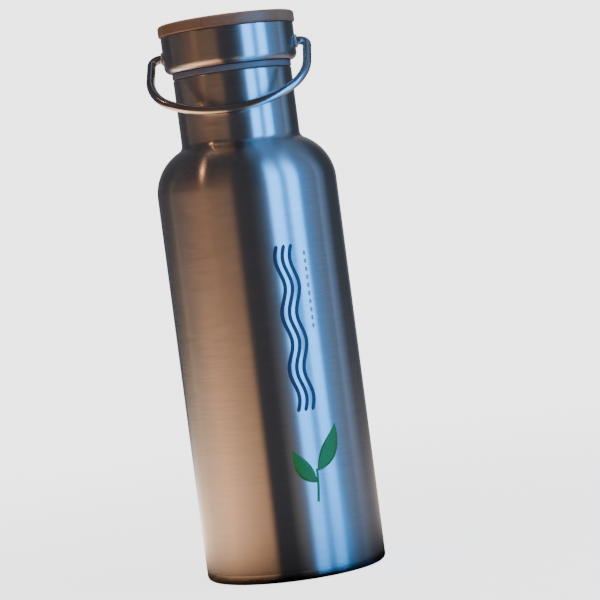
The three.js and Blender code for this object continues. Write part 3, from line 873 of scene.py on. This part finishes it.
@dataclass
class Liner:
    """Inner wall with its thread, its floor, and the getter under it."""

    outer: OuterBottle
    wall: float = 0.5
    fillet: float = 4.0
    body_outer: float = extent("inner_flask").radius
    top: float = extent("inner_flask").top
    bottom: float = extent("inner_flask").bottom
    neck_vacuum_gap: float = 1.3
    thread_below_lip: float = 2.2
    thread_lead: float = 8.0

    @property
    def mouth_radius(self) -> float:
        """Radius of the mouth between the thread's ridges."""
        return self.outer.neck_radius - self.outer.wall - self.neck_vacuum_gap - self.wall

    @property
    def thread_height(self) -> float:
        """Height at which the liner's ridges start."""
        return self.outer.lip_height - self.thread_below_lip - self.thread_lead

    def wall_surface(self) -> Surface:
        """Drawn wall with the round thread rolled into the neck."""
        centre = self.outer.shoulder_centre
        neck_outer = self.mouth_radius + self.wall
        outside, _ = wall_side(self.body_outer, neck_outer, self.fillet, centre)
        inside, neck_start = wall_side(self.body_outer - self.wall, self.mouth_radius,
                                       self.fillet + self.wall, centre)
        fine = np.arange(self.top - 1, neck_start + 8, -0.22)
        threaded = np.column_stack([np.full_like(fine, self.mouth_radius), fine])
        rim = rounded([
            (neck_outer, self.top - 1.5, 0), (neck_outer, self.top, 0.22),
            (self.mouth_radius, self.top, 0.22), (self.mouth_radius, self.top - 0.9, 0),
        ], closed=False)
        foot = rounded([
            (self.body_outer - self.wall, self.bottom + 1, 0),
            (self.body_outer - self.wall, self.bottom, 0.1),
            (self.body_outer, self.bottom, 0.1), (self.body_outer, self.bottom + 1, 0),
        ], closed=False)
        ring = np.vstack([foot, outside, rim, threaded, inside[::-1], foot[:1]])
        thread = RoundThread(self.mouth_radius, self.thread_height, outward=False)
        return revolve(refined(ring, 4.0)[:-1], relief=thread.relief)

    def floor(self) -> Surface:
        """Dished floor with a large corner radius."""
        box = extent("inner_bottom")
        corner = box.top - box.bottom
        edge = box.radius - corner
        up = arc((edge, box.top), corner, -90, 0)
        down = arc((edge, box.top), corner - self.wall, 0, -90)
        return revolve(refined(np.vstack([
            [[0, box.bottom]], up, down, [[0, box.bottom + self.wall]],
        ]), 4.0))

    def getter(self) -> tuple[Surface, Surface]:
        """Ring clip and tablet, moved to their place off the axis."""
        clip, tablet = extent("getter_holder"), extent("getter_pellet")
        offset = Matrix.Translation(((tablet.low[0] + tablet.high[0]) / 2, 0, 0))
        r, w, lip = clip.radius, 0.4, 1.0
        ring = rounded([
            (r, clip.top, 0.1), (r, clip.bottom, 0.3), (r - lip, clip.bottom, 0.1),
            (r - lip, clip.bottom + w, 0.1), (r - w, clip.bottom + w, 0.1), (r - w, clip.top, 0.1),
        ], closed=True)
        disc = rounded([
            (0, tablet.bottom, 0), (tablet.radius, tablet.bottom, 0.2),
            (tablet.radius, tablet.top, 0.2), (0, tablet.top, 0),
        ], closed=False)
        clip_ring = revolve(ring, SMALL_ROUND).moved(offset)
        return (clip_ring, revolve(refined(disc, 1.0), SMALL_ROUND).moved(offset))

    def build(self) -> None:
        """Makes the liner's pieces on the bottle's body."""
        finish_piece(self.wall_surface(), "liner_wall", POLISHED, "bottle", "inner_flask")
        finish_piece(self.floor(), "liner_floor", POLISHED, "bottle", "inner_bottom")
        clip, tablet = self.getter()
        finish_piece(clip, "getter_clip", POLISHED, "bottle", "getter_holder")
        finish_piece(tablet, "getter_tablet", GETTER, "bottle", "getter_pellet")


@dataclass
class Lid:
    """Lid shell, plug with its thread, foam, plate, gasket and bamboo disc."""

    liner: Liner
    height: float = 14.8
    wall: float = 0.6
    curl_radius: float = 2.8
    curl_deg: float = 80.0
    bond_gap: float = 0.2
    plug_wall: float = 2.6
    plug_floor: float = 3.0
    plate_inset: float = 0.5
    flange_rise: float = 0.1
    gasket_clearance: float = 0.4
    thread_pitch: float = 4.0

    def shell(self) -> Surface:
        """Drawn cup, upside down, with its rim curled in."""
        box = extent("lid_shell")
        low = box.top - self.height
        centre = (box.radius - self.curl_radius, low + self.curl_radius)
        outer_curl = arc(centre, self.curl_radius, 0, -self.curl_deg)
        inner_curl = arc(centre, self.curl_radius - self.wall, -self.curl_deg, 0)
        crown = rounded([
            (0, box.top, 0), (box.radius, box.top, 0.5), (box.radius, box.top - 2, 0),
        ], closed=False)
        under = rounded([
            (box.radius - self.wall, box.top - 2, 0), (box.radius - self.wall, box.top - self.wall, 0.3),
            (0, box.top - self.wall, 0),
        ], closed=False)
        return revolve(refined(np.vstack([crown, outer_curl, inner_curl, under]), 2.0))

    def core(self) -> Surface:
        """Moulded plug with flange, round thread and the pocket for the foam."""
        box, shell = extent("lid_core"), extent("lid_shell")
        plug = self.plug_radius
        flange = box.radius
        flange_low = shell.top - self.height + self.flange_rise
        curl = self.curl_radius - self.wall - self.bond_gap
        pocket = plug - self.plug_wall
        fine = np.arange(box.bottom + 1.2, flange_low - 0.4, 0.22)
        outside = np.vstack([
            rounded([(0, box.bottom, 0), (plug, box.bottom, 1.0), (plug, box.bottom + 1.2, 0)], closed=False),
            np.column_stack([np.full_like(fine, plug), fine]),
            rounded([
                (plug, flange_low - 0.3, 0), (plug, flange_low, 0.2), (flange - curl, flange_low, 0.3),
                (flange - curl, flange_low + 0.7, 0.2), (flange, flange_low + curl + 0.7, 1.6),
                (flange, box.top, 0.3), (pocket, box.top, 0.3), (pocket, box.bottom + self.plug_floor, 0.6),
                (0, box.bottom + self.plug_floor, 0),
            ], closed=False),
        ])
        thread = RoundThread(plug, self.liner.thread_height - self.thread_pitch / 2, outward=True)
        return revolve(refined(outside), relief=thread.relief)

    @property
    def plug_radius(self) -> float:
        """Radius of the plug between its ridges."""
        return extent("plug_plate").radius + self.plate_inset

    def plate(self) -> Surface:
        """Thin plate with a turned-up edge."""
        box = extent("plug_plate")
        return revolve(refined(rounded([
            (0, box.bottom, 0), (box.radius, box.bottom, 0.45), (box.radius, box.top, 0.1), (0, box.top, 0),
        ], closed=False), 2.0))

    def foam(self) -> Surface:
        """Plug of foam with softened edges."""
        box = extent("foam_insert")
        return revolve(refined(rounded([
            (0, box.bottom, 0), (box.radius, box.bottom, 1.0), (box.radius, box.top, 1.0), (0, box.top, 0),
        ], closed=False)))

    def gasket(self) -> Surface:
        """Moulded ring with a rounded outer edge."""
        box = extent("gasket")
        inner = self.plug_radius + self.gasket_clearance
        return revolve(rounded([
            (inner, box.bottom, 0.25), (box.radius, box.bottom, 0.55),
            (box.radius, box.top, 0.55), (inner, box.top, 0.25),
        ], closed=True))

    def disc(self) -> Surface:
        """Turned disc with a softened top edge and a smaller one below."""
        box = extent("bamboo_disc")
        return revolve(refined(rounded([
            (0, box.bottom, 0), (box.radius, box.bottom, 0.8), (box.radius, box.top, 1.3), (0, box.top, 0),
        ], closed=False), 1.5))

    def build(self) -> None:
        """Makes the lid's pieces, and the gasket that rises with it."""
        finish_piece(self.shell(), "lid_cup", BRUSHED, "lid", "lid_shell")
        finish_piece(self.core(), "plug_core", PLUG_PP, "lid", "lid_core")
        finish_piece(self.plate(), "plug_underplate", POLISHED, "lid", "plug_plate")
        finish_piece(self.foam(), "plug_foam", FOAM, "lid", "foam_insert")
        finish_piece(self.disc(), "bamboo_top", BAMBOO, "lid", "bamboo_disc")
        finish_piece(self.gasket(), "seal_ring", SILICONE, "seal", "gasket")


@dataclass
class Bail:
    """Round-wire handle and the two bushes that its ends turn in."""

    wire_radius: float = 1.75
    pivot_height: float = extent("lid_shell").top - 7.9
    lid_radius: float = extent("lid_shell").radius
    bow_height: float = 23.4
    corner_radius: float = 19.8
    end_bend: float = 3.5
    pin_depth: float = 5.0
    bush_depth: float = 5.5
    bush_stand_off: float = 0.1
    bore: float = 1.85
    barrel: float = 2.25
    flange: float = 2.7
    flange_thickness: float = 0.8

    @property
    def half_width(self) -> float:
        """Distance from the middle to the centre of a leg."""
        return extent("bail_handle").radius - self.wire_radius

    @property
    def reach(self) -> float:
        """Distance from the pivot axis to the wire's centre in the middle of the bow."""
        low = extent("bail_handle").low
        return math.hypot(low[1] + self.wire_radius, low[2] + self.wire_radius - self.pivot_height)

    def centre_line(self) -> np.ndarray:
        """Centre line of the wire, flat: distance across and distance from the pivot axis.

        A pin, a quarter bend, a straight leg, a wide corner and a shallow bow touch one another
        smoothly, and the second half mirrors the first.
        """
        leg_end = self.reach - self.bow_height
        corner_x = self.half_width - self.corner_radius
        bow_radius = (corner_x**2 + self.bow_height**2 - self.corner_radius**2) / (
            2 * (self.bow_height - self.corner_radius)
        )
        bow_centre = self.reach - bow_radius
        corner_turn = math.degrees(math.atan2(leg_end - bow_centre, corner_x))
        bend_x = self.half_width - self.end_bend
        half = np.vstack([
            [[self.lid_radius - self.pin_depth, 0.0]],
            arc((bend_x, self.end_bend), self.end_bend, -90, 0),
            arc((corner_x, leg_end), self.corner_radius, 0, corner_turn),
            arc((0, bow_centre), bow_radius, corner_turn, 90)[1:],
        ])
        half = refined(half, 1.0)
        return np.vstack([half, half[-2::-1] * [-1, 1]])

    def wire(self) -> Surface:
        """The wire, tilted forward to where it rests against the neck."""
        flat = self.centre_line()
        low = extent("bail_handle").low
        forward = np.array([0, low[1] + self.wire_radius, low[2] + self.wire_radius - self.pivot_height])
        away = forward / np.linalg.norm(forward)
        across = np.array([1.0, 0.0, 0.0])
        pivot = np.array([0.0, 0.0, self.pivot_height])
        centre = pivot + flat[:, :1] * across + flat[:, 1:] * away
        return sweep_wire(centre, np.cross(across, away), self.wire_radius, 28)

    def bush(self, side: int) -> Surface:
        """A flanged bush on the pivot axis. side is 1 on the right and -1 on the left."""
        inner = self.lid_radius - self.bush_depth
        face = self.lid_radius + self.bush_stand_off
        outline = rounded([
            (self.bore, inner, 0.1), (self.barrel, inner, 0.1), (self.barrel, face, 0.05),
            (self.flange, face, 0.12), (self.flange, face + self.flange_thickness, 0.3),
            (self.bore, face + self.flange_thickness, 0.2),
        ], closed=True)
        place = Matrix.Translation((0, 0, self.pivot_height)) @ Matrix.Rotation(side * math.pi / 2, 4, "Y")
        return revolve(outline, SMALL_ROUND).moved(place)

    def build(self) -> None:
        """Makes the handle on its own body and the bushes on the lid's."""
        finish_piece(self.wire(), "bail_wire", WIRE, "bail", "bail_handle")
        for side, word in ((-1, "left"), (1, "right")):
            finish_piece(self.bush(side), f"pivot_bush_{word}", BUSH_POM, "lid",
                         f"bail_bush_{word}")


@dataclass
class Print:
    """Generic decoration printed on the front right of the wall: water lines and two leaves."""

    wall: float = extent("outer_shell").radius
    film: float = 0.03
    axis_deg: float = 26.0
    wave_low: float = 66.0
    wave_high: float = 132.0
    wave_length: float = 22.0
    wave_swing: float = 1.3
    wave_width: float = 1.5
    wave_spacing: float = 3.0
    wave_count: int = 3
    stem_foot: float = 30.0
    stem_height: float = 13.0
    stem_sway: float = 1.1
    dash_low: float = 98.0
    dash_high: float = 130.0
    dash_step: float = 3.2
    dash_length: float = 1.9
    dash_turn_deg: float = 13.0

    def along(self, azimuth_deg: float) -> float:
        """Distance round the wall from the front to an azimuth."""
        return self.wall * math.radians(azimuth_deg)

    def ribbon(self, middle: np.ndarray, half_width: np.ndarray) -> Surface:
        """A ribbon of ink: each edge is the middle line shifted sideways by its half width.

        Args:
            middle: the middle line, as distance round the wall and height.
            half_width: half the ribbon's width at each point.

        Returns:
            The ribbon's film.
        """
        tangent = np.gradient(middle, axis=0)
        tangent /= np.linalg.norm(tangent, axis=1, keepdims=True)
        side = np.column_stack([-tangent[:, 1], tangent[:, 0]]) * half_width[:, None]
        return ink_patch(middle - side, middle + side, 7, self.wall, self.film)

    def waves(self) -> Surface:
        """Parallel wavy lines that run up the wall, each with rounded tips."""
        t = np.linspace(0, 1, 120)
        height = self.wave_low + (self.wave_high - self.wave_low) * t
        tips = np.sqrt(np.clip(np.minimum(t, 1 - t) * 90, 0.004, 1))
        surface = None
        for i in range(self.wave_count):
            offset = (i - (self.wave_count - 1) / 2) * self.wave_spacing
            sway = self.wave_swing * np.sin(2 * math.pi * height / self.wave_length)
            middle = np.column_stack([self.along(self.axis_deg) + offset + sway, height])
            line = self.ribbon(middle, tips * self.wave_width / 2)
            surface = line if surface is None else surface.joined(line)
        return surface

    def leaves(self) -> Surface:
        """Two leaves on a short stem: each is a bent line whose width swells and closes again."""
        t = np.linspace(0, 1, 60)
        foot = np.array([self.along(self.axis_deg) + 0.5, self.stem_foot])
        swell = np.clip(np.sin(math.pi * t**0.85), 0.004, 1)
        stem = np.column_stack([
            foot[0] + self.stem_sway * np.sin(1.6 * t), foot[1] + self.stem_height * t,
        ])
        surface = self.ribbon(stem, 0.45 + 0.1 * (1 - t))
        for lean, start, length, width in ((-1, 7.5, 17.0, 3.1), (1, 12.0, 21.0, 3.5)):
            root = foot + [self.stem_sway * math.sin(1.6 * start / self.stem_height), start]
            bend = np.radians(90 - lean * (48 - 34 * t))
            step = np.column_stack([np.cos(bend), np.sin(bend)]) * length / len(t)
            middle = root + np.cumsum(step, axis=0)
            surface = surface.joined(self.ribbon(middle, width * swell))
        return surface

    def dots(self) -> Surface:
        """A pale column of short dashes beside the waves."""
        surface = None
        for height in np.arange(self.dash_low, self.dash_high, self.dash_step):
            t = np.linspace(0, 1, 12)
            across = np.full_like(t, self.along(self.axis_deg + self.dash_turn_deg))
            middle = np.column_stack([across, height + self.dash_length * t])
            tips = 0.5 * np.sqrt(np.clip(1 - (2 * t - 1) ** 4, 0.01, 1))
            dash = self.ribbon(middle, tips)
            surface = dash if surface is None else surface.joined(dash)
        return surface

    def build(self) -> None:
        """Makes the three colours of the print on the bottle's body."""
        finish_piece(self.waves(), "print_waves", NAVY_INK, "bottle")
        finish_piece(self.leaves(), "print_leaves", GREEN_INK, "bottle")
        finish_piece(self.dots(), "print_dashes", PALE_INK, "bottle")


# ---------------------------------------------------------------- studio


Light = tuple[float, float, float]


class Hue(Enum):
    """Colours of light in the room, as linear red, green and blue with 1 for the strongest."""

    GREY = (0.88, 0.85, 1.0)
    DUSK = (1.0, 0.64, 0.8)
    CLAY = (1.0, 0.69, 0.6)
    CREAM = (1.0, 0.85, 0.72)
    AMBER = (1.0, 0.65, 0.42)
    SUN = (1.0, 0.54, 0.3)
    SKY = (0.07, 0.37, 1.0)
    HAZE = (0.32, 0.55, 1.0)
    MIST = (0.62, 0.76, 1.0)


@dataclass(frozen=True)
class Glow:
    """Light that comes from one azimuth, in degrees from the front towards the right."""

    azimuth: float
    hue: Hue
    level: float

    @property
    def light(self) -> Light:
        """The hue at this level."""
        red, green, blue = self.hue.value
        return (self.level * red, self.level * green, self.level * blue)


# Upright walls of the steel show this: a dim room, with a tall two-pane window on the right.
ROOM = (
    Glow(-180, Hue.GREY, 0.33), Glow(-158, Hue.GREY, 0.13), Glow(-144, Hue.GREY, 0.10),
    Glow(-120, Hue.GREY, 0.07), Glow(-111, Hue.GREY, 0.075),
    Glow(-107, Hue.CREAM, 0.17),  # a door's edge
    Glow(-103, Hue.GREY, 0.085), Glow(-66, Hue.DUSK, 0.06), Glow(-39, Hue.CLAY, 0.09),
    Glow(-16, Hue.CLAY, 0.14), Glow(-9, Hue.GREY, 0.07), Glow(10, Hue.GREY, 0.065),
    Glow(20, Hue.HAZE, 0.12), Glow(30, Hue.HAZE, 0.35), Glow(34, Hue.HAZE, 0.6),
    Glow(36, Hue.SKY, 7.0), Glow(50, Hue.SKY, 7.0),  # first pane
    Glow(52, Hue.SKY, 2.0), Glow(60, Hue.SKY, 2.1),  # the bar between the panes
    Glow(62, Hue.SKY, 7.0), Glow(75, Hue.SKY, 7.0),  # second pane
    Glow(78, Hue.SKY, 1.2), Glow(97, Hue.HAZE, 0.53), Glow(107, Hue.HAZE, 0.4),
    Glow(110, Hue.HAZE, 0.76),  # a bright edge
    Glow(115, Hue.HAZE, 0.53), Glow(130, Hue.MIST, 0.095), Glow(160, Hue.MIST, 0.095),
    Glow(180, Hue.GREY, 0.33),
)
# The steel shows this low down: a table in warm sun on the left and in sky light on the right.
TABLE = (
    Glow(-180, Hue.CREAM, 0.95), Glow(-158, Hue.CREAM, 2.2), Glow(-144, Hue.CREAM, 3.2),
    Glow(-120, Hue.AMBER, 3.1), Glow(-111, Hue.AMBER, 3.0), Glow(-107, Hue.AMBER, 3.4),
    Glow(-103, Hue.AMBER, 2.8), Glow(-66, Hue.SUN, 3.9), Glow(-39, Hue.SUN, 2.6),
    Glow(-16, Hue.SUN, 1.6), Glow(-9, Hue.GREY, 0.09), Glow(10, Hue.GREY, 0.1),
    Glow(20, Hue.CREAM, 0.42), Glow(30, Hue.GREY, 0.44), Glow(34, Hue.HAZE, 0.85),
    Glow(36, Hue.SKY, 3.3), Glow(50, Hue.SKY, 3.3), Glow(52, Hue.SKY, 2.0),
    Glow(60, Hue.SKY, 2.0), Glow(62, Hue.SKY, 3.2), Glow(75, Hue.SKY, 2.5),
    Glow(78, Hue.HAZE, 0.9), Glow(97, Hue.MIST, 0.46), Glow(110, Hue.GREY, 0.44),
    Glow(130, Hue.GREY, 0.38), Glow(160, Hue.CREAM, 0.55), Glow(180, Hue.CREAM, 0.95),
)
# Shoulder and crown show this: a dark ceiling that catches the window's light on the right.
CEILING = (
    Glow(-180, Hue.GREY, 0.31), Glow(-158, Hue.GREY, 0.115), Glow(-144, Hue.GREY, 0.08),
    Glow(-120, Hue.GREY, 0.065), Glow(10, Hue.GREY, 0.065), Glow(20, Hue.MIST, 0.1),
    Glow(30, Hue.HAZE, 0.26), Glow(34, Hue.HAZE, 0.32), Glow(36, Hue.HAZE, 0.23),
    Glow(52, Hue.HAZE, 0.23), Glow(60, Hue.HAZE, 0.35), Glow(97, Hue.HAZE, 0.36),
    Glow(107, Hue.HAZE, 0.44), Glow(130, Hue.HAZE, 0.46), Glow(160, Hue.HAZE, 0.38),
    Glow(180, Hue.GREY, 0.31),
)
PEAK = max(glow.level for glow in ROOM)


def banded(
    tree: bpy.types.NodeTree, toward: bpy.types.NodeSocket, glows: Sequence[Glow]
) -> bpy.types.NodeSocket:
    """Picks light by azimuth and blends evenly from one glow to the next.

    Args:
        tree: node tree of the world or of the table.
        toward: vector whose azimuth is used.
        glows: the lights, in the order of their azimuths.

    Returns:
        The light divided by the room's highest level.
    """
    axes = add_node(tree, "ShaderNodeSeparateXYZ", Vector=toward)
    front = add_node(tree, "ShaderNodeMath", {"operation": "MULTIPLY"}, i0=axes.outputs[1], i1=-1.0)
    azimuth = add_node(tree, "ShaderNodeMath", {"operation": "ARCTAN2"}, i0=axes.outputs[0],
                       i1=front.outputs[0])
    share = add_node(tree, "ShaderNodeMapRange", i0=azimuth.outputs[0], i1=-math.pi, i2=math.pi,
                     i3=0.0, i4=1.0)
    ramp = add_node(tree, "ShaderNodeValToRGB", Fac=share.outputs[0], stops=[
        ((glow.azimuth + 180) / 360, (*(c / PEAK for c in glow.light), 1.0)) for glow in glows
    ])
    return ramp.outputs[0]


@dataclass
class Studio:
    """Pale floor and surround, soft lights and the camera."""

    backdrop: float = 3.4
    soft: Light = (0.16, 0.18, 0.22)
    floor_radius: float = 2.2
    table_reach: tuple[float, float] = (0.20, 0.66)
    # span over which the painted contact shadow round the base fades out of the table's light
    table_shadow_span: tuple[float, float] = (0.056, 0.145)
    under_base: tuple[float, float] = (0.029, 0.035)
    under_glow: float = 0.16
    # level of the table's light inside the painted contact shadow round the base
    table_shadow_level: float = 0.015
    table_drop: float = 0.0006
    ceiling_start: tuple[float, float] = (0.42, 0.82)
    floor_fade: tuple[float, float] = (0.10, 0.60)
    floor_glow: float = 0.12
    floor_share: float = 0.72
    camera_place: tuple[float, float, float] = (0.1342, -0.9561, 0.1451)
    camera_aim: tuple[float, float, float] = (0.0152, 0.0019, 0.1083)
    lens_mm: float = 142.7
    roll_deg: float = 7.457

    def camera(self) -> None:
        """A long lens a little right of the front, rolled so that the bottle leans left."""
        made = bpy.data.cameras.new("camera")
        made.sensor_width = 36.0
        made.lens = self.lens_mm
        made.clip_end = 20.0
        made.clip_start = 0.01
        piece = bpy.data.objects.new("camera", made)
        bpy.context.scene.collection.objects.link(piece)
        place, aim = Vector(self.camera_place), Vector(self.camera_aim)
        look = (aim - place).to_track_quat("-Z", "Y").to_matrix().to_4x4()
        roll = Matrix.Rotation(math.radians(-self.roll_deg), 4, "Z")
        piece.matrix_world = Matrix.Translation(place) @ look @ roll
        bpy.context.scene.camera = piece

    def surround(self) -> None:
        """A pale backdrop, with a room of glows that only glossy reflections see.

        Each direction's azimuth picks the room's light, which gives way to the ceiling's light
        high up. Matt surfaces get one soft light instead, so that they stay even.
        """
        world = bpy.data.worlds.new("surround")
        bpy.context.scene.world = world
        world.use_nodes = True
        tree = world.node_tree
        tree.nodes.clear()
        toward = add_node(tree, "ShaderNodeTexCoord").outputs["Generated"]
        axes = add_node(tree, "ShaderNodeSeparateXYZ", Vector=toward)
        far = banded(tree, toward, ROOM)
        high = banded(tree, toward, CEILING)
        above = add_node(tree, "ShaderNodeMapRange", {"interpolation_type": "SMOOTHSTEP"},
                         i0=axes.outputs[2], i1=self.ceiling_start[0], i2=self.ceiling_start[1],
                         i3=0.0, i4=1.0)
        room = add_node(tree, "ShaderNodeMix", {"data_type": "RGBA"}, i0=above.outputs[0], i6=far, i7=high)
        path = add_node(tree, "ShaderNodeLightPath")
        mirrored = add_node(tree, "ShaderNodeBackground", Color=room.outputs[2], Strength=PEAK)
        soft = add_node(tree, "ShaderNodeBackground", Color=(*self.soft, 1.0), Strength=1.0)
        seen = add_node(tree, "ShaderNodeBackground", Color=grey(1.0), Strength=self.backdrop)
        lit = add_node(tree, "ShaderNodeMixShader", i0=path.outputs["Is Glossy Ray"],
                       i1=soft.outputs[0], i2=mirrored.outputs[0])
        both = add_node(tree, "ShaderNodeMixShader", i0=path.outputs["Is Camera Ray"],
                        i1=lit.outputs[0], i2=seen.outputs[0])
        add_node(tree, "ShaderNodeOutputWorld", Surface=both.outputs[0])

    def round_sheet(
        self, name: str, radius: float, height: float
    ) -> tuple[bpy.types.Object, bpy.types.NodeTree]:
        """A flat staged disc with an empty material.

        Args:
            name: the disc's name.
            radius: its radius in metres.
            height: its height in metres.

        Returns:
            The disc and its material's node tree.
        """
        angle = np.linspace(0, 2 * math.pi, SHEET_ROUND, endpoint=False)
        rim = np.column_stack([np.cos(angle) * radius, np.sin(angle) * radius, np.full_like(angle, height)])
        mesh = bpy.data.meshes.new(name)
        mesh.from_pydata(rim.tolist(), [], [list(range(SHEET_ROUND))])
        sheet = bpy.data.objects.new(name, mesh)
        bpy.context.scene.collection.objects.link(sheet)
        made = bpy.data.materials.new(f"studio_{name}")
        made.use_nodes = True
        made.node_tree.nodes.clear()
        mesh.materials.append(made)
        return sheet, made.node_tree

    def floor(self) -> None:
        """A round pale floor that fades into the backdrop at its rim, and is clear from below."""
        floor, tree = self.round_sheet("floor", self.floor_radius, 0.0)
        floor.visible_glossy = False
        place = add_node(tree, "ShaderNodeTexCoord")
        path = add_node(tree, "ShaderNodeLightPath")
        away = add_node(tree, "ShaderNodeVectorMath", {"operation": "LENGTH"}, i0=place.outputs["Object"])
        clear = add_node(tree, "ShaderNodeMapRange", {"interpolation_type": "SMOOTHSTEP"},
                         i0=away.outputs[1], i1=self.floor_fade[0], i2=self.floor_fade[1], i3=0.0, i4=1.0)
        glow = add_node(tree, "ShaderNodeMapRange", i0=path.outputs["Is Camera Ray"], i1=0.0, i2=1.0,
                        i3=self.floor_glow, i4=self.backdrop * self.floor_share)
        matt = add_node(tree, "ShaderNodeBsdfDiffuse", Color=grey(0.85))
        light = add_node(tree, "ShaderNodeEmission", Color=grey(1.0), Strength=glow.outputs[0])
        body = add_node(tree, "ShaderNodeAddShader", i0=matt.outputs[0], i1=light.outputs[0])
        open_air = add_node(tree, "ShaderNodeBsdfTransparent")
        side = add_node(tree, "ShaderNodeNewGeometry")
        unseen = add_node(tree, "ShaderNodeMath", {"operation": "MAXIMUM"}, i0=clear.outputs[0],
                          i1=side.outputs["Backfacing"])
        mixed = add_node(tree, "ShaderNodeMixShader", i0=unseen.outputs[0], i1=body.outputs[0],
                         i2=open_air.outputs[0])
        add_node(tree, "ShaderNodeOutputMaterial", Surface=mixed.outputs[0])

    def table(self) -> None:
        """A sunlit table that only glossy reflections see: bright and warm on the left.

        A weak glow right under the base, which no wall reflects, shows the underside from below. Close round
        the base the table's light is painted darker: a painted contact shadow of the bottle.
        """
        sheet, tree = self.round_sheet("table_reflection", self.table_reach[1], -self.table_drop)
        sheet.visible_camera = False
        sheet.visible_diffuse = False
        sheet.visible_shadow = False
        place = add_node(tree, "ShaderNodeTexCoord").outputs["Object"]
        away = add_node(tree, "ShaderNodeVectorMath", {"operation": "LENGTH"}, i0=place)
        # painted shadow: the table's light drops to a low level close round the base, for the bottle's
        # contact shadow
        near = add_node(tree, "ShaderNodeMapRange", {"interpolation_type": "SMOOTHSTEP"},
                        i0=away.outputs[1], i1=self.table_shadow_span[0], i2=self.table_shadow_span[1],
                        i3=self.table_shadow_level, i4=1.0)
        gone = add_node(tree, "ShaderNodeMapRange", {"interpolation_type": "SMOOTHSTEP"},
                        i0=away.outputs[1], i1=self.table_reach[0], i2=self.table_reach[1], i3=0.0, i4=1.0)
        under = add_node(tree, "ShaderNodeMapRange", {"interpolation_type": "SMOOTHSTEP"},
                         i0=away.outputs[1], i1=self.under_base[0], i2=self.under_base[1],
                         i3=self.under_glow, i4=0.0)
        glow = add_node(tree, "ShaderNodeMath", {"operation": "ADD"}, i0=near.outputs[0], i1=under.outputs[0])
        strength = add_node(tree, "ShaderNodeMath", {"operation": "MULTIPLY"}, i0=glow.outputs[0], i1=PEAK)
        colour = banded(tree, place, TABLE)
        light = add_node(tree, "ShaderNodeEmission", Color=colour, Strength=strength.outputs[0])
        open_air = add_node(tree, "ShaderNodeBsdfTransparent")
        mixed = add_node(tree, "ShaderNodeMixShader", i0=gone.outputs[0], i1=light.outputs[0],
                         i2=open_air.outputs[0])
        add_node(tree, "ShaderNodeOutputMaterial", Surface=mixed.outputs[0])

    def area(
        self, name: str, place: tuple[float, float, float], aim: tuple[float, float, float],
        size: tuple[float, float], watts: float, colour: str, in_steel: bool,
    ) -> None:
        """A soft rectangular light that the camera doesn't see.

        Args:
            name: the light's name.
            place: where it hangs, in metres.
            aim: the point that it faces.
            size: its width and height in metres.
            watts: its power.
            colour: its sRGB colour.
            in_steel: True if the steel reflects it.
        """
        light = bpy.data.lights.new(name, "AREA")
        light.shape = "RECTANGLE"
        light.size, light.size_y = size
        light.energy = watts
        light.color = linear(colour)[:3]
        lamp = bpy.data.objects.new(name, light)
        bpy.context.scene.collection.objects.link(lamp)
        look = (Vector(aim) - Vector(place)).to_track_quat("-Z", "Y").to_matrix().to_4x4()
        lamp.matrix_world = Matrix.Translation(place) @ look
        lamp.visible_camera = False
        lamp.visible_glossy = in_steel

    def build(self) -> None:
        """Makes the camera, surround, floor, table and lights."""
        self.camera()
        self.surround()
        self.floor()
        self.table()
        self.area("overhead_soft", (0.05, -0.1, 1.3), (0, 0, 0.2), (0.9, 0.9), 5.4, "#fff4e6", False)
        self.area("key_soft", (1.0, -0.35, 0.6), (0, 0, 0.1), (0.8, 0.8), 7.2, "#78acff", False)
        self.area("fill_soft", (-0.9, -0.5, 0.5), (0, 0, 0.1), (0.7, 0.7), 1.0, "#ff8058", False)
        self.area("lamp_small", (-0.62, -0.33, 0.80), (0, 0, 0.17), (0.03, 0.06), 0.35, "#ffb884", True)


def main() -> None:
    """Builds the studio, then the bottle from its outside to its handle and print."""
    logging.basicConfig(level=logging.INFO, format="%(name)s: %(message)s")
    Studio().build()
    outer = OuterBottle()
    outer.build()
    liner = Liner(outer)
    liner.build()
    Lid(liner).build()
    Bail().build()
    Print().build()


if __name__ == "__main__":
    main()
